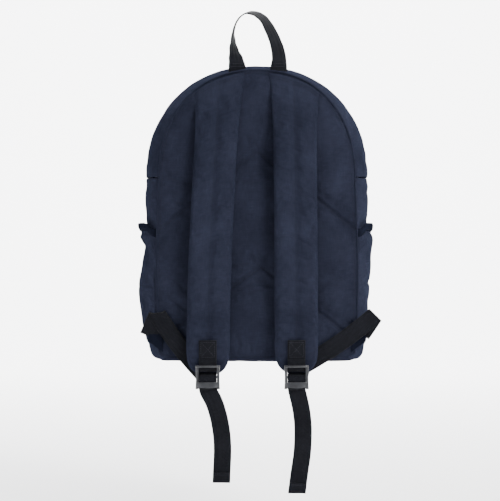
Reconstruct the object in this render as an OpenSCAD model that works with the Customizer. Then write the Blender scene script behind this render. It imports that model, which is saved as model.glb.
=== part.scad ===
// School backpack hanging from its grab handle.
// +Z is up, +Y runs from the padded back panel to the front pocket.
// The origin is the inside of the grab handle's top, where a hook holds the bag.
// Inside the modules heights count from the bag's base and depths from the back seam.

/* [Bag body] */
// Height from the base to the top of the dome
body_h = 415; // [380:1:500]
// Width across the zip, the widest line of the bag
body_w = 310; // [280:1:370]
// Width of the back panel at the fold line
back_w = 282; // [250:1:300]
// Depth of the main compartment
body_d = 140; // [120:1:180]
// How far the sides swell below the fold line
belly = 4; // [0:0.5:8]
// Radius of the bottom corners
corner_r = 15; // [8:1:30]
// How far the front edge is rounded inwards
front_round = 22; // [12:1:30]
// Thickness of the padded fabric walls
wall = 3; // [2:0.5:4]
// Squareness of the back panel's dome, where 2 is an ellipse
back_square = 2.2; // [2:0.1:2.6]

/* [Back panel] */
// Thickness of the back panel's outer fabric
skin_t = 2; // [1:0.5:3]
// Thickness of the back panel's foam
foam_t = 8; // [4:0.5:12]
// Thickness of the back panel's lining
lining_t = 1; // [0.5:0.5:2]
// Thickness of the piping strip over the back seam
piping_t = 2; // [1:0.5:3]
// Width of the piping strip over the back seam
piping_w = 6; // [4:0.5:10]
// Gap between the foam and the walls around it
foam_clear = 1; // [0.5:0.5:3]

/* [Base] */
// Thickness of the bottom panel
base_t = 3; // [2:0.5:5]
// Thickness of the plastic base stiffener
stiffener_t = 2; // [1:0.5:4]
// Gap between the stiffener and the walls around it
stiffener_clear = 6; // [2:1:12]

/* [Laptop sleeve] */
// Width of the sleeve's slot
sleeve_w = 232; // [200:1:240]
// Depth of the sleeve's slot
sleeve_d = 16; // [10:1:24]
// Height of the sleeve's top edge above the base
sleeve_h = 265; // [220:1:290]
// Thickness of the sleeve's wall
sleeve_t = 2; // [1.5:0.5:4]
// Height of the binding along the sleeve's edge
binding_h = 9; // [6:1:14]

/* [Zips] */
// Distance of the main zip's centre line from the bag's front
zip_front = 46; // [40:1:60]
// Width of one zip tape
tape_w = 12.5; // [10:0.5:14]
// Thickness of a zip tape
tape_t = 1.2; // [0.8:0.1:2]
// Width of one coil
coil_w = 2.5; // [2:0.1:3]
// Height of one coil above its tape
coil_h = 1.6; // [1.2:0.1:2.4]
// Gap between the two coils, where the slider's post runs
coil_gap = 3; // [2.4:0.1:4]
// Clearance around the sliders and their pulls
slide_clear = 0.3; // [0.2:0.05:0.5]
// Length of a slider
slider_l = 12; // [9:0.5:16]
// Width of a slider
slider_w = 9; // [8:0.5:12]
// Thickness of a slider's plates
slider_t = 1.6; // [1.2:0.1:2.4]
// Length of a pull tab from its pivot
pull_l = 27; // [18:1:36]
// Width of a pull tab
pull_w = 7; // [5:0.5:9]
// Thickness of a pull tab
pull_t = 1.4; // [1:0.1:2]
// Radius of the bar that a pull turns on
pull_bar_r = 1; // [0.8:0.1:1.4]
// Angle between the dome's top and a closed main slider
slider_rest = 8; // [6:1:14]

/* [Front pocket] */
// Width of the front pocket
pocket_w = 214; // [180:1:240]
// Depth of the front pocket
pocket_d = 36; // [24:1:50]
// Height of the front pocket's bottom edge above the base
pocket_z = 10; // [6:1:30]
// Height of the front pocket's top edge above the base
pocket_top = 226; // [180:1:245]
// Corner radius of the front pocket
pocket_r = 26; // [16:1:40]
// Length of the front pocket's zip
pocket_zip_l = 160; // [120:1:170]
// Gap between the front pocket's zip tapes and the walls beside them
pocket_tape_clear = 1; // [0.3:0.1:3]

/* [Side pockets] */
// Height of a side pocket's top edge above the base
side_h = 190; // [150:1:220]
// Height of a side pocket's bottom seam above the bottom corner's round
side_lift = 1; // [0:1:10]
// Depth of a side pocket's rear seam behind the back seam
side_y = 5; // [3:1:20]
// Distance of a side pocket's front seam from the bag's front
side_front = 27; // [22:1:50]
// How far a side pocket stands off the side panel
side_gap = 10; // [8:0.5:16]
// Thickness of the side pockets' fabric
side_t = 1.5; // [1:0.5:2.5]
// Height of the elastic hem
hem_h = 12; // [8:1:20]
// Clearance between the side pocket's seams and the panel
seam_clear = 0.3; // [0.2:0.05:0.5]

/* [Shoulder straps] */
// Width of a shoulder strap
strap_w = 62; // [50:1:70]
// Width of a strap at the top seam
strap_root_w = 72; // [60:1:78]
// Thickness of a strap on each side of its stitched channel
strap_t = 13; // [9:0.5:18]
// Thickness of a strap's fabric
cover_t = 1.2; // [0.8:0.1:2]
// Height of the straps' lower ends against the base
strap_end_z = -22; // [-60:1:0]
// Distance of the straps' upper ends from the middle
strap_root_x = 53; // [45:1:70]
// Distance of the left strap's lower end from the middle
left_end_x = 70; // [55:1:85]
// Distance of the right strap's lower end from the middle
right_end_x = 56; // [50:1:80]
// Gap between a strap's ends and the bag
strap_clear = 0.4; // [0.3:0.1:1]
// How far a strap bows away from the back panel
strap_bow = 10; // [0:1:25]

/* [Webbing] */
// Width of the webbing
web_w = 25; // [20:1:30]
// Thickness of the webbing
web_t = 1.6; // [1.2:0.1:2.4]
// Length of the left webbing tail
left_tail_l = 142; // [80:1:200]
// Length of the right webbing tail
right_tail_l = 154; // [80:1:200]
// Sideways drift of the left tail
left_tail_x = 24; // [0:1:40]
// Sideways drift of the right tail
right_tail_x = 3; // [0:1:40]
// Height of a tail's folded hem
tail_hem = 13; // [8:1:20]
// Distance of the left webbing's fold from the middle
left_fold_x = 144; // [136:1:160]
// Distance of the right webbing's fold from the middle
right_fold_x = 158; // [146:1:170]
// Height of the webbing's fold above the base
web_fold_z = 50; // [40:1:80]
// Height of the webbing's lower sewn end above the base
web_sewn_z = 20; // [16:1:36]

/* [Ladder locks] */
// Width of a ladder lock
lock_w = 35; // [30:1:42]
// Height of a ladder lock
lock_h = 34; // [28:1:42]
// Thickness of a ladder lock
lock_t = 5; // [4:0.5:8]
// Radius of the bar that hangs a lock from its loop
lock_bar_r = 1.9; // [1.5:0.1:2.5]
// Clearance between a bar and the webbing around it
bar_clear = 0.3; // [0.2:0.05:0.6]
// Height of the sewn patch that holds a lock
patch_h = 30; // [20:1:40]

/* [Grab handle] */
// Distance between the handle's two sewn ends
handle_w = 61; // [50:1:90]
// Height of the handle's loop inside
handle_h = 78; // [50:1:100]
// Depth of the handle behind the back seam
handle_y = 8; // [6:1:24]
// Thickness of the handle's doubled webbing
handle_t = 3; // [2:0.5:4]
// Gap between the handle's ends and the gusset
handle_clear = 0.5; // [0.3:0.1:1]

/* [Hidden] */
zip_r = body_w / 2;
fold_z = body_h - zip_r;
back_a = back_w / 2;
dome_step = 1;
back_b = zip_r - dome_step;
zip_y = body_d - zip_front;
rear_tape_y = zip_y - coil_gap / 2 - tape_w;
front_tape_y = zip_y + coil_gap / 2 + tape_w;
inner_y = skin_t + foam_t + lining_t;
front_r = zip_r - front_round;
hook_z = body_h + handle_clear + handle_h;
rear_steps = 5;
round_steps = 5;
dome_step_deg = 7.5;
flap_gap = 0.7;
exact = 96;
navy = "#323a52";
dark_navy = "#252b3d";
webbing_black = "#23242b";
lining_grey = "#5b6070";
foam_grey = "#9a9ca0";
plastic_dark = "#2b2c30";
coil_black = "#17181b";
metal_grey = "#6d7076";

// ---- shared frames and shapes ----

// Puts the bag under the hook: the origin is the inside of the handle's top.
module hung() translate([0, -handle_y, -hook_z]) children();

// A flat shape drawn in x and z, given a thickness along +Y from depth y.
module upright(y, t) translate([0, y + t, 0]) rotate([90, 0, 0]) linear_extrude(t) children();

// A profile of radius and depth turned about the zip's axis: 0 is the left end, 90 the top.
module arch(from, sweep) translate([0, 0, fold_z]) rotate([-90, 0, 0]) rotate([0, 0, 180 + from])
    rotate_extrude(angle = sweep, $fn = exact) children();

// Moves a shape drawn at the dome's top, with z = 0 on the zip's radius, along the dome.
module on_dome(angle) translate([0, zip_y, fold_z]) rotate([0, angle - 90, 0]) translate([0, 0, zip_r])
    children();

module rect(x0, x1, y0, y1) translate([x0, y0]) square([x1 - x0, y1 - y0]);

module rounded(w, h, r) {
    square([w - 2 * r, h], center = true);
    square([w, h - 2 * r], center = true);
    for (sx = [-1, 1], sy = [-1, 1])
        translate([sx * (w / 2 - r), sy * (h / 2 - r)]) circle(r, $fn = 48);
}

// Closed shell between two equal grids of points.
module shell(outer, inner) {
    rows = len(outer);
    cols = len(outer[0]);
    n = rows * cols;
    last = cols - 1;
    edge = [
        for (j = [0:cols - 2]) j,
        for (i = [0:rows - 2]) i * cols + last,
        for (j = [last:-1:1]) (rows - 1) * cols + j,
        for (i = [rows - 1:-1:1]) i * cols
    ];
    skin = [for (i = [0:rows - 2], j = [0:cols - 2])
        let (a = i * cols + j, b = a + cols) each [[a, b, b + 1], [a, b + 1, a + 1]]];
    back = [for (f = skin) [f[0] + n, f[2] + n, f[1] + n]];
    rim = [for (k = [0:len(edge) - 1])
        let (p = edge[k], q = edge[(k + 1) % len(edge)]) each [[p, q, q + n], [p, q + n, p + n]]];
    polyhedron([for (row = outer) each row, for (row = inner) each row], concat(skin, back, rim));
}

// Closed skin over a row of equal rings.
module loft(rings) {
    n = len(rings[0]);
    last = (len(rings) - 1) * n;
    sides = [for (i = [0:len(rings) - 2], j = [0:n - 1])
        let (a = i * n + j, b = i * n + (j + 1) % n) each [[a, b, b + n], [a, b + n, a + n]]];
    caps = [[for (j = [n - 1:-1:0]) j], [for (j = [0:n - 1]) last + j]];
    polyhedron([for (ring = rings) each ring], concat(sides, caps));
}

// ---- outline of the bag ----

function power(v, e) = sign(v) * pow(abs(v), e);

// Point of a dome of half width a and height b at an angle from its right end.
function dome(a, b, square_e, angle) =
    [a * power(cos(angle), 2 / square_e), b * power(sin(angle), 2 / square_e)];

// Half width of the bag at the fold line, for a depth y and a distance d inside the surface.
function rear_u(y) = (y - skin_t) / (rear_tape_y - skin_t);
function half_w(y) =
    y < rear_tape_y ? back_a + (zip_r - back_a) * sin(90 * rear_u(y)) :
    y < front_tape_y ? zip_r :
    zip_r - front_round * (1 - cos(asin((y - front_tape_y) / (body_d - front_tape_y))));

function corner(z) = z < corner_r ? corner_r - sqrt(corner_r * corner_r - pow(corner_r - z, 2)) : 0;
function side_x(x, z) = x + belly * sin(180 * z / fold_z) - corner(z);

// Depths and half widths across the bag at the fold line, d inside the surface.
function rear_profile(d) = [for (k = [0:rear_steps])
    let (y = skin_t + (rear_tape_y - skin_t) * k / rear_steps) [half_w(y) - d, y]];
function round_profile(d) = [for (k = [0:round_steps])
    let (v = 90 * k / round_steps)
        [zip_r - d - (front_round - d) * (1 - cos(v)), front_tape_y + (body_d - d - front_tape_y) * sin(v)]];
function full_profile(d) = concat(rear_profile(d), round_profile(d));

function side_heights(z0, z1, steps) = concat(
    [for (z = [z0, corner_r / 2, corner_r]) if (z >= z0) z],
    [for (k = [1:steps]) corner_r + (z1 - corner_r) * k / steps]);

// Half outline below the fold line, from the base up, then the dome: one closed outline.
function outline(a, b, z0) =
    let (side = [for (z = side_heights(z0, fold_z, 5)) [side_x(a, z), z]],
         top = [for (t = [dome_step_deg:dome_step_deg:180 - dome_step_deg])
            dome(a, b, back_square, t) + [0, fold_z]])
    concat(side, top, [for (k = [len(side) - 1:-1:0]) [-side[k][0], side[k][1]]]);

function dome_z(x) = fold_z + back_b * pow(1 - pow(abs(x) / back_a, back_square), 1 / back_square);

module back_outline(d) polygon(outline(back_a - d, back_b - d, d));

// ---- back panel ----

module back_panel() hung() color(navy) upright(0, skin_t) back_outline(0);

module back_foam() hung() color(foam_grey) upright(skin_t, foam_t) back_outline(wall + foam_clear);

module back_lining() hung() color(lining_grey)
    upright(skin_t + foam_t, lining_t) back_outline(wall + foam_clear);

module rear_piping() hung() color(dark_navy) upright(-piping_t, piping_t) difference() {
    back_outline(0);
    back_outline(piping_w);
}

// ---- walls of the main compartment ----

function rear_grid(d) = [for (k = [0:rear_steps])
    let (p = rear_profile(d)[k], u = k / rear_steps,
         b = back_b + (zip_r - back_b) * sin(90 * u) - d,
         e = back_square + (2 - back_square) * u * u)
    [for (t = [0:dome_step_deg:180]) let (q = dome(p[0], b, e, t)) [q[0], p[1], q[1] + fold_z]]];

module rear_gusset() hung() color(navy) shell(rear_grid(0), rear_grid(wall));

function side_grid(d) = [for (p = full_profile(d))
    [for (z = side_heights(base_t, fold_z, 5)) [side_x(p[0], z), p[1], z]]];

module side_panel() color(navy) shell(side_grid(wall), side_grid(0));
module side_panel_right() hung() side_panel();
module side_panel_left() hung() mirror([1, 0, 0]) side_panel();

module bottom_panel() hung() color(dark_navy) linear_extrude(base_t) {
    edge = [for (p = full_profile(0)) [side_x(p[0], base_t), p[1]]];
    polygon(concat(edge, [for (k = [len(edge) - 1:-1:0]) [-edge[k][0], edge[k][1]]]));
}

module base_stiffener() hung() color(plastic_dark) {
    half = side_x(front_r, base_t) - wall - stiffener_clear;
    y0 = inner_y + sleeve_d + sleeve_t + stiffener_clear;
    translate([0, 0, base_t]) linear_extrude(stiffener_t)
        rect(-half, half, y0, body_d - wall - stiffener_clear);
}

module front_panel_lower() hung() color(navy) upright(body_d - wall, wall) {
    side = [for (z = side_heights(base_t, fold_z, 5)) [side_x(front_r, z), z]];
    polygon(concat(side, [for (k = [len(side) - 1:-1:0]) [-side[k][0], side[k][1]]]));
}

// ---- laptop sleeve ----

module sleeve_wall(z0, z1, t) difference() {
    translate([-sleeve_w / 2 - t, inner_y, z0]) cube([sleeve_w + 2 * t, sleeve_d + t, z1 - z0]);
    translate([-sleeve_w / 2, inner_y - 1, max(z0, base_t + sleeve_t) - (z0 > base_t ? 1 : 0)])
        cube([sleeve_w, sleeve_d + 1, z1]);
}
module laptop_sleeve() hung() color(lining_grey) sleeve_wall(base_t, sleeve_h - binding_h, sleeve_t);
module sleeve_binding() hung() color(webbing_black) sleeve_wall(sleeve_h - binding_h, sleeve_h, sleeve_t + 1);

// ---- main zip and the flap it opens ----

module zip_tape_rear() hung() color(webbing_black) arch(0, 180)
    rect(zip_r - wall / 2 - tape_t / 2, zip_r - wall / 2 + tape_t / 2, rear_tape_y, zip_y - coil_gap / 2);

module zip_coil_rear() hung() color(coil_black) arch(0, 180) coil_section(zip_y - coil_gap / 2 - coil_w);

module coil_section(y) rect(zip_r - wall / 2 + tape_t / 2, zip_r - wall / 2 + tape_t / 2 + coil_h, y, y + coil_w);

module zip_end_stops() hung() color(metal_grey) {
    stop_y = zip_y - coil_gap / 2 - coil_w;
    for (from = [0.6, 178.4]) arch(from, 1)
        rect(zip_r - wall / 2 + tape_t / 2 + coil_h, zip_r - wall / 2 + tape_t / 2 + coil_h + 1,
            stop_y, stop_y + coil_w);
}

flap_trim = asin(flap_gap / front_r);

module front_panel_upper() hung() color(navy) upright(body_d - wall, wall) intersection() {
    translate([0, fold_z]) circle(front_r, $fn = exact);
    rect(-front_r, front_r, fold_z + flap_gap, fold_z + front_r + 1);
}

module front_gusset() hung() color(navy) arch(flap_trim, 180 - 2 * flap_trim)
    polygon(concat(round_profile(0), [for (k = [round_steps:-1:0]) round_profile(wall)[k]]));

module zip_tape_front() hung() color(webbing_black) arch(flap_trim, 180 - 2 * flap_trim)
    rect(zip_r - wall / 2 - tape_t / 2, zip_r - wall / 2 + tape_t / 2, zip_y + coil_gap / 2, front_tape_y);

module zip_coil_front() hung() color(coil_black) arch(flap_trim, 180 - 2 * flap_trim)
    coil_section(zip_y + coil_gap / 2);

// ---- sliders and pulls ----

plate_z = coil_h + tape_t / 2 + slide_clear;
pull_z = plate_z + slider_t + slide_clear + pull_bar_r + slide_clear + pull_t;

// A slider over a zip whose tape lies at z = 0 and runs along X; its post stands in the gap.
module slider_body() {
    post = coil_gap - 2 * slide_clear;
    low_z = -tape_t / 2 - slide_clear - slider_t;
    cheek_t = 1.2;
    cheek_y = pull_w / 2 + slide_clear;
    for (z = [low_z, plate_z])
        translate([-slider_l / 2, -slider_w / 2, z]) cube([slider_l, slider_w, slider_t]);
    translate([-slider_l / 2, -post / 2, low_z]) cube([slider_l / 2, post, plate_z - low_z + slider_t / 2]);
    for (side = [-1, 1]) translate([-2, side * (cheek_y + cheek_t / 2) - cheek_t / 2, plate_z + slider_t])
        cube([4, cheek_t, pull_z - plate_z - slider_t + pull_bar_r]);
    translate([0, 0, pull_z]) rotate([90, 0, 0])
        cylinder(h = 2 * cheek_y + cheek_t, r = pull_bar_r, center = true, $fn = 32);
}

// The pull that turns on that slider's bar, lying along -X.
module pull_body() {
    eye_r = pull_bar_r + slide_clear + pull_t;
    translate([0, 0, pull_z]) difference() {
        union() {
            rotate([90, 0, 0]) cylinder(h = pull_w, r = eye_r, center = true, $fn = 48);
            translate([-pull_l + pull_w / 2, -pull_w / 2, -pull_t / 2]) cube([pull_l - pull_w / 2, pull_w, pull_t]);
            translate([-pull_l + pull_w / 2, 0, -pull_t / 2]) cylinder(h = pull_t, d = pull_w, $fn = 48);
        }
        rotate([90, 0, 0])
            cylinder(h = pull_w + 2, r = pull_bar_r + slide_clear, center = true, $fn = 48);
    }
}

module dome_slider() translate([0, 0, -wall / 2]) color(metal_grey) slider_body();
module dome_pull() translate([0, 0, -wall / 2]) color(metal_grey) pull_body();
module main_slider_left() hung() on_dome(90 - slider_rest) dome_slider();
module main_slider_right() hung() on_dome(90 + slider_rest) mirror([1, 0, 0]) dome_slider();
module main_pull_left() hung() on_dome(90 - slider_rest) dome_pull();
module main_pull_right() hung() on_dome(90 + slider_rest) mirror([1, 0, 0]) dome_pull();

// ---- front pocket ----

pocket_h = pocket_top - pocket_z;
pocket_zip_y = body_d + (pocket_d - wall) / 2;
pocket_tape_w = (pocket_d - 2 * wall - coil_gap) / 2 - pocket_tape_clear;
tape_slot = 2 * pocket_tape_w + coil_gap;
pocket_slider_x = pocket_zip_l / 2 - slider_l;

module pocket_outline(d) translate([0, pocket_z + pocket_h / 2])
    rounded(pocket_w - 2 * d, pocket_h - 2 * d, pocket_r - d);

module front_pocket_gusset() hung() color(navy) difference() {
    upright(body_d, pocket_d - wall) difference() {
        pocket_outline(0);
        pocket_outline(wall);
    }
    translate([-pocket_zip_l / 2, pocket_zip_y - tape_slot / 2, pocket_top - wall - 1])
        cube([pocket_zip_l, tape_slot, wall + 2]);
}

module front_pocket_face() hung() color(navy) upright(body_d + pocket_d - wall, wall) pocket_outline(0);

module pocket_zip_tapes() hung() color(webbing_black) for (side = [-1, 1])
    translate([-pocket_zip_l / 2, pocket_zip_y + side * (coil_gap + pocket_tape_w) / 2 - pocket_tape_w / 2,
        pocket_top - wall / 2 - tape_t / 2]) cube([pocket_zip_l, pocket_tape_w, tape_t]);

module pocket_zip_coils() hung() color(coil_black) for (side = [-1, 1])
    translate([-pocket_zip_l / 2, pocket_zip_y + side * (coil_gap + coil_w) / 2 - coil_w / 2,
        pocket_top - wall / 2 + tape_t / 2]) cube([pocket_zip_l, coil_w, coil_h]);

module at_pocket_slider() translate([-pocket_slider_x, pocket_zip_y, pocket_top - wall / 2])
    mirror([1, 0, 0]) children();
module pocket_slider() hung() color(metal_grey) at_pocket_slider() slider_body();
module pocket_pull() hung() color(metal_grey) at_pocket_slider() pull_body();

// ---- side pockets ----

side_cols = 8;
side_z = corner_r + side_lift;
side_w = body_d - side_y - side_front;
function pocket_gap(v, z) =
    seam_clear + side_gap * sqrt(sin(180 * v) * sin(90 * min(1, (z - side_z) / (side_h - side_z))));
function pocket_grid(z0, z1, rows, d) = [for (k = [0:side_cols])
    let (v = k / side_cols, y = side_y + side_w * v)
    [for (i = [0:rows]) let (z = z0 + (z1 - z0) * i / rows)
        [side_x(half_w(y), z) + pocket_gap(v, z) + d, y, z]]];

module side_pocket() color(navy)
    shell(pocket_grid(side_z, side_h - hem_h, 6, 0), pocket_grid(side_z, side_h - hem_h, 6, side_t));
module pocket_hem() color(dark_navy)
    shell(pocket_grid(side_h - hem_h, side_h, 1, 0), pocket_grid(side_h - hem_h, side_h, 1, side_t + 1));
module side_pocket_right() hung() side_pocket();
module side_pocket_left() hung() mirror([1, 0, 0]) side_pocket();
module pocket_hem_right() hung() pocket_hem();
module pocket_hem_left() hung() mirror([1, 0, 0]) pocket_hem();

// ---- lower webbing and its anchors ----

wing_y = -piping_t - web_t;
wing_reach = 14;
wing_half = 24;
wing_mid = web_sewn_z + web_w / 2;

module anchor_wing(side) color(dark_navy) upright(wing_y, web_t)
    polygon([[side * (back_a - piping_w), wing_mid - wing_half], [side * (back_a + wing_reach), wing_mid - 8],
        [side * (back_a + wing_reach), wing_mid + 8], [side * (back_a - piping_w), wing_mid + wing_half]]);
module anchor_wing_left() hung() anchor_wing(-1);
module anchor_wing_right() hung() anchor_wing(1);

// A flat length of webbing from p to q in the plane of the back panel.
module web_run(p, q, y) {
    run = q - p;
    upright(y, web_t) translate(p) rotate([0, 0, atan2(run[1], run[0])])
        translate([-web_t, -web_w / 2]) square([norm(run) + 2 * web_t, web_w]);
}
module lower_webbing(side, fold_x, end_x) color(webbing_black) {
    fold = [side * fold_x, web_fold_z];
    web_run([side * (back_a + wing_reach / 2), web_sewn_z], fold, wing_y - web_t);
    web_run(fold, [side * end_x, strap_end_z], wing_y - 2 * web_t);
}
module lower_webbing_left() hung() lower_webbing(-1, left_fold_x, left_end_x);
module lower_webbing_right() hung() lower_webbing(1, right_fold_x, right_end_x);

// ---- shoulder straps ----

strap_steps = 18;
strap_top_gap = 4;
// Shares of a strap's length where it starts to narrow, stops flaring and is fully padded
strap_tip = 0.86;
strap_flare = 0.25;
strap_root = 0.12;
strap_y0 = -piping_t - strap_clear;
strap_y1 = wing_y - 2 * web_t - strap_clear;
strap_across = [-1, -0.94, -0.8, -0.5, -0.2, 0, 0.2, 0.5, 0.8, 0.94, 1];

// Depth of a strap's inner face, a share u of the way down.
function strap_y(u) = strap_y0 + (strap_y1 - strap_y0) * min(1, u / 0.6) - strap_bow * sin(180 * u);
function tip_share(u) = max(0, (u - strap_tip) / (1 - strap_tip));
function strap_half(u) =
    let (body = strap_w / 2 + (strap_root_w - strap_w) / 2 * pow(1 - min(1, u / strap_flare), 2), tip = tip_share(u))
    body * sqrt(1 - 0.82 * tip * tip);
// Half thickness across a strap: two padded rolls beside the stitched channel.
function strap_swell(v, u) = strap_t / 2 * (0.42 + 0.58 * sqrt(max(0, 1 - pow(2 * abs(v) - 1, 4))))
    * (1 - 0.3 * tip_share(u)) * (1 - 0.35 * pow(1 - min(1, u / strap_root), 2));

// Grid of points over a strap, face times its half thickness less d from its middle.
function strap_grid(side, end_x, face, d) = [for (k = [0:strap_steps])
    let (u = k / strap_steps, xc = side * (strap_root_x + (end_x - strap_root_x) * sin(90 * u)),
         half = strap_half(u))
    [for (v = strap_across)
        let (x = xc + v * half, z0 = dome_z(x) - strap_top_gap)
        [x, strap_y(u) - strap_t / 2 + face * (strap_swell(v, u) - d), z0 + (strap_end_z - z0) * u]]];

module strap_fabric(side, end_x) color(navy)
    shell(strap_grid(side, end_x, -1, cover_t), strap_grid(side, end_x, -1, 0));
module strap_foam(side, end_x) color(foam_grey)
    shell(strap_grid(side, end_x, 1, cover_t), strap_grid(side, end_x, -1, cover_t));
module strap_mesh(side, end_x) color(dark_navy)
    shell(strap_grid(side, end_x, 1, 0), strap_grid(side, end_x, 1, cover_t));
module strap_fabric_left() hung() strap_fabric(-1, left_end_x);
module strap_fabric_right() hung() strap_fabric(1, right_end_x);
module strap_foam_left() hung() strap_foam(-1, left_end_x);
module strap_foam_right() hung() strap_foam(1, right_end_x);
module strap_mesh_left() hung() strap_mesh(-1, left_end_x);
module strap_mesh_right() hung() strap_mesh(1, right_end_x);

// ---- ladder locks, their loops and the webbing tails ----

loop_r = lock_bar_r + bar_clear + web_t;
bar_z = strap_end_z + 12;
// The sewn patch lies over the strap's outer face, which stands proudest at the patch's top.
patch_z0 = dome_z(strap_root_x) - strap_top_gap;
patch_u = (patch_z0 - bar_z - patch_h) / (patch_z0 - strap_end_z);
loop_y = strap_y(patch_u) - strap_t / 2 - strap_swell(0.5, patch_u) - strap_clear - loop_r;

module along_x(r, l) rotate([0, 90, 0]) cylinder(h = l, r = r, center = true, $fn = 48);

module buckle_loop(x) color(webbing_black) translate([x, loop_y, bar_z]) difference() {
    union() {
        along_x(loop_r, web_w);
        translate([-web_w / 2, loop_r - web_t, 0]) cube([web_w, web_t, patch_h]);
    }
    along_x(lock_bar_r + bar_clear, web_w + 2);
}
module buckle_loop_left() hung() buckle_loop(-left_end_x);
module buckle_loop_right() hung() buckle_loop(right_end_x);

rail = (lock_w - web_w) / 2 - bar_clear;
mid_bar_z = -lock_h * 0.45;
low_bar_z = -lock_h + lock_bar_r * 2 + 1;

// A lock hangs from its top bar, whose middle is the origin.
module ladder_lock(x) color(plastic_dark) translate([x, loop_y, bar_z]) {
    along_x(lock_bar_r, lock_w - 2);
    for (side = [-1, 1]) translate([side * (lock_w - rail) / 2 - rail / 2, -lock_t / 2, -lock_h + lock_bar_r])
        cube([rail, lock_t, lock_h]);
    for (z = [mid_bar_z, low_bar_z]) translate([0, 0, z]) along_x(lock_bar_r, lock_w - 2);
}
module ladder_lock_left() hung() ladder_lock(-left_end_x);
module ladder_lock_right() hung() ladder_lock(right_end_x);

tail_steps = 12;
function tail_x(drift, bulge, u) = drift * (1 - cos(180 * min(1, u * 1.6))) / 2 + bulge * sin(180 * u);

// A tail hangs from the lock's low bar: a ring around the bar, then a flat drifting length.
module webbing_tail(x, drift, bulge, l) color(webbing_black) translate([x, loop_y, bar_z + low_bar_z]) {
    top = loop_r - web_t / 2;
    edge = [for (k = [0:tail_steps])
        let (u = k / tail_steps) [tail_x(drift, bulge, u), -top - (l - top) * u]];
    difference() {
        along_x(loop_r, web_w);
        along_x(lock_bar_r + bar_clear, web_w + 2);
    }
    upright(-web_t / 2, web_t) polygon(concat([for (p = edge) p - [web_w / 2, 0]],
        [for (k = [tail_steps:-1:0]) edge[k] + [web_w / 2, 0]]));
}
module tail_hem_fold(x, drift, bulge, l) color(webbing_black)
    translate([x + tail_x(drift, bulge, 1), loop_y, bar_z + low_bar_z])
    upright(-1.5 * web_t, web_t) rect(-web_w / 2, web_w / 2, -l, tail_hem - l);
module webbing_tail_left() hung() webbing_tail(-left_end_x, left_tail_x, 0, left_tail_l);
module webbing_tail_right() hung() webbing_tail(right_end_x, right_tail_x, 8, right_tail_l);
module tail_hem_left() hung() tail_hem_fold(-left_end_x, left_tail_x, 0, left_tail_l);
module tail_hem_right() hung() tail_hem_fold(right_end_x, right_tail_x, 8, right_tail_l);

// ---- grab handle ----

handle_steps = 28;
// A share u of the way round the loop: place, and the turn of the webbing's width out of X.
function handle_at(u) = [-handle_w / 2 * cos(180 * u),
    body_h + handle_clear + (handle_h + handle_t / 2) * pow(sin(180 * u), 0.7)];
function handle_turn(u) = 90 * pow(sin(180 * u), 0.8);
function handle_ring(u) =
    let (p = handle_at(u), a = handle_at(max(0, u - 0.01)), b = handle_at(min(1, u + 0.01)),
         run = (b - a) / norm(b - a), out = [-run[1], 0, run[0]],
         wide = cos(handle_turn(u)) * out + [0, sin(handle_turn(u)), 0],
         deep = -sin(handle_turn(u)) * out + [0, cos(handle_turn(u)), 0])
    [for (c = [[-1, -1], [1, -1], [1, 1], [-1, 1]])
        [p[0], handle_y, p[1]] + wide * c[0] * web_w / 2 + deep * c[1] * handle_t / 2];

module grab_handle() hung() color(webbing_black)
    loft([for (k = [0:handle_steps]) handle_ring(k / handle_steps)]);

back_panel();
back_foam();
back_lining();
rear_piping();
rear_gusset();
side_panel_left();
side_panel_right();
bottom_panel();
base_stiffener();
front_panel_lower();
laptop_sleeve();
sleeve_binding();
zip_tape_rear();
zip_coil_rear();
zip_end_stops();
front_panel_upper();
front_gusset();
zip_tape_front();
zip_coil_front();
main_slider_left();
main_slider_right();
main_pull_left();
main_pull_right();
front_pocket_gusset();
front_pocket_face();
pocket_zip_tapes();
pocket_zip_coils();
pocket_slider();
pocket_pull();
side_pocket_left();
side_pocket_right();
pocket_hem_left();
pocket_hem_right();
anchor_wing_left();
anchor_wing_right();
lower_webbing_left();
lower_webbing_right();
strap_fabric_left();
strap_fabric_right();
strap_foam_left();
strap_foam_right();
strap_mesh_left();
strap_mesh_right();
buckle_loop_left();
buckle_loop_right();
ladder_lock_left();
ladder_lock_right();
webbing_tail_left();
webbing_tail_right();
tail_hem_left();
tail_hem_right();
grab_handle();
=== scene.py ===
import math

import bmesh
import bpy
import numpy as np
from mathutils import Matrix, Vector, noise
from mathutils.bvhtree import BVHTree


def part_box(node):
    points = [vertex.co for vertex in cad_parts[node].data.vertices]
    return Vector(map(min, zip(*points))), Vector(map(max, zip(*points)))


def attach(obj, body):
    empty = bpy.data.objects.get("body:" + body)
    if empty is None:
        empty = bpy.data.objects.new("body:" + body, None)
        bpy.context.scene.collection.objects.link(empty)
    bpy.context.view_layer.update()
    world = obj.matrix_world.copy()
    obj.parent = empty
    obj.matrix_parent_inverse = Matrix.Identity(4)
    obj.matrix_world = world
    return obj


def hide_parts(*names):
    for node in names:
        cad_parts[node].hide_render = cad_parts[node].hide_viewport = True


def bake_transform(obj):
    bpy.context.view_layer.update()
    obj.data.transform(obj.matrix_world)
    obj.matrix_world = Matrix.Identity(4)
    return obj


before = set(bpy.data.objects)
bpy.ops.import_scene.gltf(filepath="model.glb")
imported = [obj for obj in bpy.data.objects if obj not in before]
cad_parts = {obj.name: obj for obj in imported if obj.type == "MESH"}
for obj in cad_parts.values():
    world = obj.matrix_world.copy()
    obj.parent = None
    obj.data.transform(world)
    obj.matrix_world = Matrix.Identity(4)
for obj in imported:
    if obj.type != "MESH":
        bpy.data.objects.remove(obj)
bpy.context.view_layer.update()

mm = 0.001

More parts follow.
